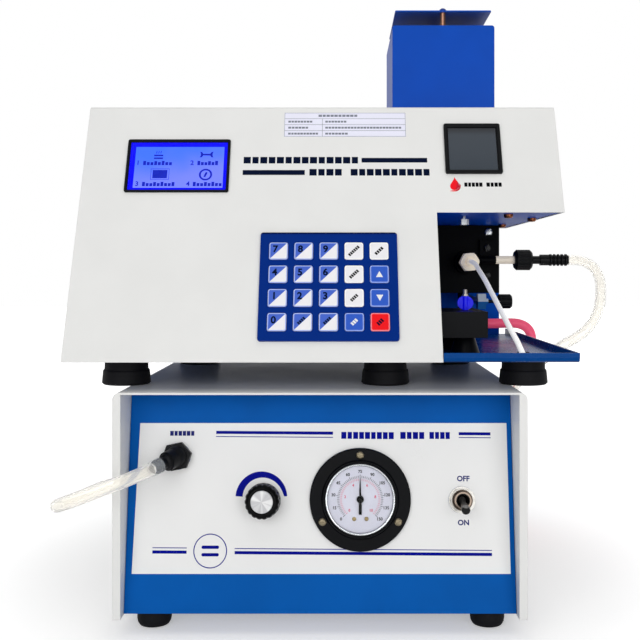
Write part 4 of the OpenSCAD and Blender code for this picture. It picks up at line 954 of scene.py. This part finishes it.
# %% One printed legend for every key
BLOCK_PITCH, BLOCK_SHARE, DIAGONAL = 1.7, 0.76, 0.707
ARROW = 2.3
BARS = {"recall": (10.2, 2.3), "read": (7.6, 2.3), "menu": (8.4, 2.3), "det": (6.6, 2.3),
        "del": (6.8, 2.2), "set": (6.8, 2.2), "print": (5.6, 2.6), "reset": (5.4, 3.0)}
LOOKS = {"reset": (key_red, title_ink)}
LOOKS.update(dict.fromkeys(("up", "down", "print"), (key_blue, label_film)))
LOOKS.update(dict.fromkeys(("recall", "read", "menu", "det"), (key_white, black_ink)))
for order, key in enumerate(KEYS):
    x = PAD[0] + (order % 5 - 2) * PITCH
    s = PAD[1] + (1.5 - order // 5) * PITCH - ROWS_LOW
    legend = Drawing(upper_panel)
    if key in ("up", "down"):
        tip = ARROW if key == "up" else -ARROW
        legend.shape([(-2.5, -tip), (2.5, -tip), (0, tip)], spot=(x, s), n=KEY_TOP)
    elif key in BARS:
        length, height = BARS[key]
        shift = 0.9 if key in ("del", "set") else 0
        count = round(length / BLOCK_PITCH)
        for i in range(count):
            along = (i + 0.5 - count / 2) * length / count * DIAGONAL
            block = rectangle(length / count * BLOCK_SHARE, height)
            legend.shape(block, spot=(x - shift + along, s + shift + along), n=KEY_TOP, turn=45)
    else:
        legend.figure(key, (x - 2.3, s + 1.3), KEY_TOP, 5.0, bold=0.24)
    key_film, key_print = LOOKS.get(key, (key_split, title_ink))
    dress("key_" + key, key_film)
    legend.piece("legend_" + key, key_print, "key_white", "key_" + key)

# %% [markdown]
# ## Print on the upper panel
# Two heavy bars with a line of blocks beside each, a small red flame under the window, and a ruled sticker.
# A row of blocks has the weight of a printed line, so the panel keeps its rhythm from a distance.

# %% Title bars and the window's caption
FIRST_ROW, SECOND_ROW, CAPTION_ROW = 157.1, 146.9, 136.6
title = Drawing(upper_panel)
title.shape(rectangle(48.9, 3.9, 54.0, FIRST_ROW))
title.shape(rectangle(46.0, 4.1, -35.6, SECOND_ROW - 0.2))
for left, right, s in ((-58.7, 27.7, FIRST_ROW), (-9.6, 15.4, SECOND_ROW), (21, 80.6, SECOND_ROW)):
    word_bars(title, left, right, s, 5.5, 6.2, 0)
title.piece("title_bars", title_ink, "black_paint")
caption = Drawing(upper_panel)
for left, right in ((104.9, 118.6), (121.2, 132.9)):
    word_bars(caption, left, right, CAPTION_ROW, 3.4, 2.9, 0)
caption.piece("window_caption", black_ink, "black_paint")

# %% A small red flame: a drop with a sickle under it
DROP = [(0, 6.0), (0.9, 4.2), (2.2, 2.4), (3.1, 0.6), (3.3, -1.3), (2.7, -3.0), (1.4, -4.3), (-0.2, -4.8),
        (-1.8, -4.5), (-3.0, -3.4), (-3.5, -1.8), (-3.2, -0.2), (-2.3, 1.4), (-1.1, 3.2), (-0.4, 4.6)]
SICKLE = [(3.5, 0.9), (4.5, -0.9), (4.1, -3.1), (2.9, -4.9), (1.0, -5.8), (-1.5, -5.9), (-4.0, -5.5),
          (-2.0, -5.0), (0.2, -4.9), (1.6, -4.3), (2.8, -3.0), (3.3, -1.3)]


def flame_tint(place):
    """Bright red on the left of the flame, darker crimson towards its right edge."""
    across, up = upper_panel.read(place, *FLAME)
    return (across - up * 0.25).rise(0.8, 2.6).blend("#f20f20", "#c01830")


flame_red = coat("flame_red", flame_tint, 0.35, 0.7, 0.002, 0.05, mirror=0.15)
flame = Drawing(upper_panel)
for outline in (DROP, SICKLE):
    flame.shape(outline, spot=FLAME)
flame.piece("flame_mark", flame_red, "key_red")

# %% A ruled sticker whose rows hold blocks instead of words
PAPER = 0.08
RULE, RULE_PITCH = 0.28, 5.25
FIRST_COLUMN, SECOND_COLUMN = -25.8, 2.2
sticker = Drawing(upper_panel)
sticker.shape(rectangle(92, 21.1, *STICKER, 0.4), thick=PAPER)
sticker.piece("sticker", sticker_paper, "white_paint")
rules = Drawing(upper_panel)
rules.shape(rectangle(91.6, 20.7), rectangle(91.1, 20.2), spot=STICKER, n=PAPER)
for row in (-1, 0, 1):
    rules.shape(rectangle(91.2, RULE, s=row * RULE_PITCH), spot=STICKER, n=PAPER)
rules.shape(rectangle(RULE, 15.4), spot=(0.2, 185.3), n=PAPER)
word_bars(rules, -3, 27, 195.6, 1.9, 3.0, PAPER)
for s, first_width, second_end in ((190.4, 18.5, 18.5), (185.1, 15.5, 60), (179.9, 23, 19.5)):
    word_bars(rules, FIRST_COLUMN, FIRST_COLUMN + first_width, s, 1.6, 2.4, PAPER)
    word_bars(rules, SECOND_COLUMN, second_end, s, 1.6, 2.4, PAPER)
rules.piece("sticker_rules", grey_ink, "white_paint")

# %% [markdown]
# ## Hoses lie where their weight puts them
# Three soft tubes belong to the set: the air hose from the compressor to the sprayer, the thin tube that
# draws the sample up, and the drain hose. Each follows a smooth line through given points: out of its
# tail, down under its weight and, for the two hoses, along the bench. A clear hose looks solid unless it
# has a real bore, because most of what the eye sees is light bent by its wall, so each one is an outer and
# an inner skin that meet at the ends.

# %% Hollow tubes along a smooth line


def smooth_line(route, steps=4):
    """Points in metres on a smooth curve through a route; depth is counted from the front edge."""
    knots = [Vector((x * MM, front_edge + back * MM, z * MM)) for x, back, z in route]
    last = len(knots) - 1
    ways = [(knots[min(i + 1, last)] - knots[max(i - 1, 0)]).normalized() for i in range(last + 1)]
    line = []
    for i in range(last):
        reach = (knots[i + 1] - knots[i]).length / 3
        line += interpolate_bezier(knots[i], knots[i] + ways[i] * reach,
                                   knots[i + 1] - ways[i + 1] * reach, knots[i + 1], steps + 1)[:-1]
    return line + [knots[last]]


def skin(form, line, radius, sides=20):
    """Rings round a line, joined into a skin; gives back its first and its last ring."""
    side = (line[1] - line[0]).orthogonal()
    rings = []
    for i, point in enumerate(line):
        ahead = (line[min(i + 1, len(line) - 1)] - line[max(i - 1, 0)]).normalized()
        side = (side - ahead * side.dot(ahead)).normalized()
        lift = ahead.cross(side)
        turns = [math.tau * k / sides for k in range(sides)]
        rings.append([form.verts.new(point + (side * math.cos(a) + lift * math.sin(a)) * radius)
                      for a in turns])
    for low, high in zip(rings, rings[1:]):
        join_rings(form, low, high)
    return rings[0], rings[-1]


def join_rings(form, low, high):
    """Faces between two rings with as many corners."""
    for k in range(len(low)):
        after = (k + 1) % len(low)
        form.faces.new((low[k], low[after], high[after], high[k]))


def tube(name, route, diameter, bore, finish, stand_for, slot, **facts):
    """A hollow hose through points given in millimetres."""
    line = smooth_line(route)
    form = bmesh.new()
    outer = skin(form, line, diameter / 2 * MM)
    inner = skin(form, line, bore / 2 * MM)
    for outside, inside in zip(outer, inner):
        join_rings(form, outside, inside)
    bmesh.ops.recalc_face_normals(form, faces=form.faces)
    mesh = bpy.data.meshes.new(name)
    form.to_mesh(mesh)
    form.free()
    mesh.shade_smooth()
    mesh.set_sharp_from_angle(angle=math.radians(60))
    mesh.materials.append(finish)
    piece = placed(name, mesh)
    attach(piece, "instrument")
    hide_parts(stand_for)
    return piece


# %% A clear sleeve where the hose grips the outlet's tail
BALL_OUT = 5.5
TAIL_START = (-113.1, -0.9, 115.15)
ball = lower_panel.point(*OUTLET, BALL_OUT)
tail_end = Vector((TAIL_START[0], front_edge / MM + TAIL_START[1], TAIL_START[2]))
tail_length = (tail_end - ball).length
spin = (tail_end - ball).to_track_quat("Z", "Y").to_matrix().to_4x4()
along_tail = Matrix.Scale(MM, 4) @ Matrix.Translation(ball) @ spin
SLEEVE = [(5.0, -8.2), (5.0, -3.0), (4.6, 1.5), (4.7, 1.5), (5.4, -3.2), (5.5, -8.2), (5.0, -8.2)]
sleeve = Drawing(lower_panel)
sleeve.turned([(radius, tail_length + n) for radius, n in SLEEVE], steps=40, seat=along_tail)
hose_sleeve = sleeve.piece("hose_sleeve", sleeve_tube, "clear_hose", smooth=50)

# %% The air hose, round behind the compressor
AIR_ROUTE = [
    TAIL_START, (-118, -9.3, 114), (-125.8, -20, 112.2), (-137, -26, 108.6),
    (-150.3, -26.5, 103.6), (-162.5, -22, 98.5), (-171.8, -12, 93.9), (-176, 0, 91), (-174.3, 13, 90),
    (-169.5, 26, 90), (-162.2, 44, 91), (-156.8, 63, 90.5), (-153.5, 83, 87), (-152, 103, 79),
    (-152, 121, 67), (-152, 138, 52), (-152, 155, 36), (-152, 173, 21), (-152, 192, 10.5),
    (-152, 213, 5.5), (-151.5, 233, 4.7), (-150, 252, 4.7), (-146, 271, 4.7), (-136, 289, 4.7),
    (-120, 302, 4.7), (-100, 309, 4.7), (-78, 311, 4.7), (-52, 311, 4.7), (-26, 311, 4.7),
    (0, 311, 4.7), (26, 311, 4.7), (52, 311, 4.7), (76, 311, 4.7), (98, 309.5, 4.7),
    (118, 304, 4.7), (135, 293, 4.7), (146, 277, 4.7), (151.5, 259, 4.7), (153, 240, 5.5),
    (153, 224, 10.5), (153, 211, 20), (153, 200.5, 34), (153, 192, 51), (153, 185, 70),
    (153, 179, 90), (153, 173, 109), (153.3, 166.5, 127), (155, 160, 141.5), (159.2, 153.5, 153),
    (166.5, 147.5, 163.2), (176, 142.5, 172.8), (187, 139.5, 181.5), (196.5, 139, 188.5),
    (206.5, 143, 193), (217, 149.5, 199), (227, 159, 208), (234.5, 170, 218.5), (239, 182, 230),
    (241.5, 194, 241), (240, 204.5, 250.6), (234, 210.5, 256.3), (227, 213, 258.4), (218.6, 213.3, 258.7),
]
tube("air_line", AIR_ROUTE, 9.0, 6.0, milky_tube, "air_hose", "clear_hose", far_end="connector",
     stiffness="medium", lay="loose", with_pieces=[nodes["hose_connector"], hose_sleeve])

# %% The sample tube and the drain hose
SAMPLE_ROUTE = [
    (128.3, 193.2, 256.8), (128.7, 190.4, 256.7), (129.8, 187, 256), (130.9, 181.5, 254.2),
    (131.3, 172, 251), (131.6, 156, 246.6), (132.4, 138, 240.8), (133.8, 118, 232.3),
    (135.4, 98, 223.4), (137, 77, 214.2), (138.6, 56, 204.9), (140.2, 38, 197), (141.2, 24.5, 190),
]
DRAIN_ROUTE = [
    (146.3, 246, 199.9), (158, 246, 200), (168, 246, 200.3), (177, 246, 200.2),
    (183.5, 246, 198.6), (188.5, 246, 195.2), (191.4, 246, 190), (192, 246, 183), (191.4, 246, 174),
    (189, 246.5, 163), (184, 247, 152.5), (176.5, 247.5, 141), (171.5, 248, 128), (169.5, 248.5, 113),
    (169, 249.5, 95), (169.5, 251, 77), (171, 254, 59), (173, 259, 42), (175, 267, 26.5),
    (175.5, 279, 13.5), (175.5, 293, 6.5), (173, 308, 4.7), (166, 321, 4.7), (153, 330, 4.7),
    (137, 335, 4.7), (118, 337, 4.7), (98, 337, 4.7), (78, 336, 4.7), (59, 333, 4.7),
]
tube("sample_line", SAMPLE_ROUTE, 4.1, 1.6, fine_tube, "sample_tube", "clear_hose",
     far_end="bare", stiffness="stiff", lay="hanging")
tube("drain_line", DRAIN_ROUTE, 9.0, 6.0, rose_tube, "drain_hose", "pink_hose",
     far_end="bare", stiffness="limp", lay="loose")

# %% [markdown]
# ## A white studio
# The object stands on a white sweep. The floor is lit like everything else, so it keeps the soft shadow,
# and a little extra white is added only for rays that come straight from the camera, or by way of glass
# and polished metal, so that the background reads as clean paper. Less white is added under the object,
# which paints a deeper shadow there. The room behind the camera is dim, as a studio is, which keeps
# black plastic black, while the paper behind the object gives bright side gleams.

# %% A floor of white paper
PAPER_WHITE = 0.85
GLOSS_SHARE = 0.4
PAINTED_SHADOW_UNDER_OBJECT, ROUND_OBJECT, FAR_AWAY = 0.38, 0.6, 1.6


def light_paths(tree):
    """1 for rays from the camera or through glass, and 1 for rays by way of a gloss."""
    start = Signal(tree)
    camera_ray, glossy_ray, glass_ray = [
        start.node("LightPath", {}, {}, f"Is {kind} Ray") for kind in ("Camera", "Glossy", "Transmission")]
    direct = (camera_ray + glass_ray).rise(0, 1)
    return direct, glossy_ray * (1 - direct)


paper = bpy.data.materials.new("paper")
paper.use_nodes = True
away = Signal(paper.node_tree).node("TexCoord", {}, {}, "Object").length()
# painted shadow: less white is added under the object, so the floor is darker there
added = away.rise(0.17, 0.34, PAINTED_SHADOW_UNDER_OBJECT, ROUND_OBJECT) * away.rise(0.3, 1.9, 1.0, FAR_AWAY)
direct, by_gloss = light_paths(paper.node_tree)
fill_in(paper.node_tree.nodes["Principled BSDF"], {
    "Base Color": (PAPER_WHITE, PAPER_WHITE, PAPER_WHITE), "Roughness": 0.9, "Emission Strength": 1.0,
    "Emission Color": (direct + by_gloss * GLOSS_SHARE) * added})
REACH = 6.0
floor_mesh = bpy.data.meshes.new("floor")
floor_mesh.from_pydata([(-REACH, -REACH, 0), (REACH, -REACH, 0), (REACH, REACH, 0), (-REACH, REACH, 0)],
                       [], [(0, 1, 2, 3)])
floor_mesh.materials.append(paper)
floor = placed("floor", floor_mesh)
print("the paper is", 2 * REACH, "m wide")

# %% A sky that is white to the camera, bright behind the object and dim behind the camera
SKY_LIGHT = 0.42
DIM_ROOM, BRIGHT_PAPER, CEILING = 0.12, 0.85, 0.4
sky = bpy.data.worlds.new("sky")
sky.use_nodes = True
bpy.context.scene.world = sky
way = Signal(sky.node_tree).node("TexCoord", {}, {}, "Generated")
behind = way.axis(1).rise(-0.35, 0.5, DIM_ROOM, BRIGHT_PAPER) + way.axis(2).rise(0.5, 0.95, 0.0, CEILING)
direct, by_gloss = light_paths(sky.node_tree)
strength = SKY_LIGHT + direct * (1 - SKY_LIGHT) + by_gloss * (behind - SKY_LIGHT)
fill_in(sky.node_tree.nodes["Background"], {"Color": (1, 1, 1), "Strength": strength})
print("the sky lights things at", SKY_LIGHT, "of white")

# %% Softboxes
AIM = (0, 0, 0.24)


def softbox(name, spot, width, height, power):
    """A rectangular lamp that faces the object; sizes in metres, power in watts."""
    data = bpy.data.lights.new(name, "AREA")
    data.shape = "RECTANGLE"
    data.size = width
    data.size_y = height
    data.energy = power
    lamp = placed(name, data)
    lamp.location = spot
    lamp.rotation_euler = (Vector(AIM) - Vector(spot)).to_track_quat("-Z", "Y").to_euler()
    print(name, "gives", power, "W")


softbox("key_light", (-0.7, -2.1, 0.8), 1.4, 1.1, 13)
softbox("fill_light", (0.9, -2.1, 0.4), 1.2, 1.2, 13)
softbox("top_light", (0, -0.5, 1.9), 1.6, 1.4, 5)
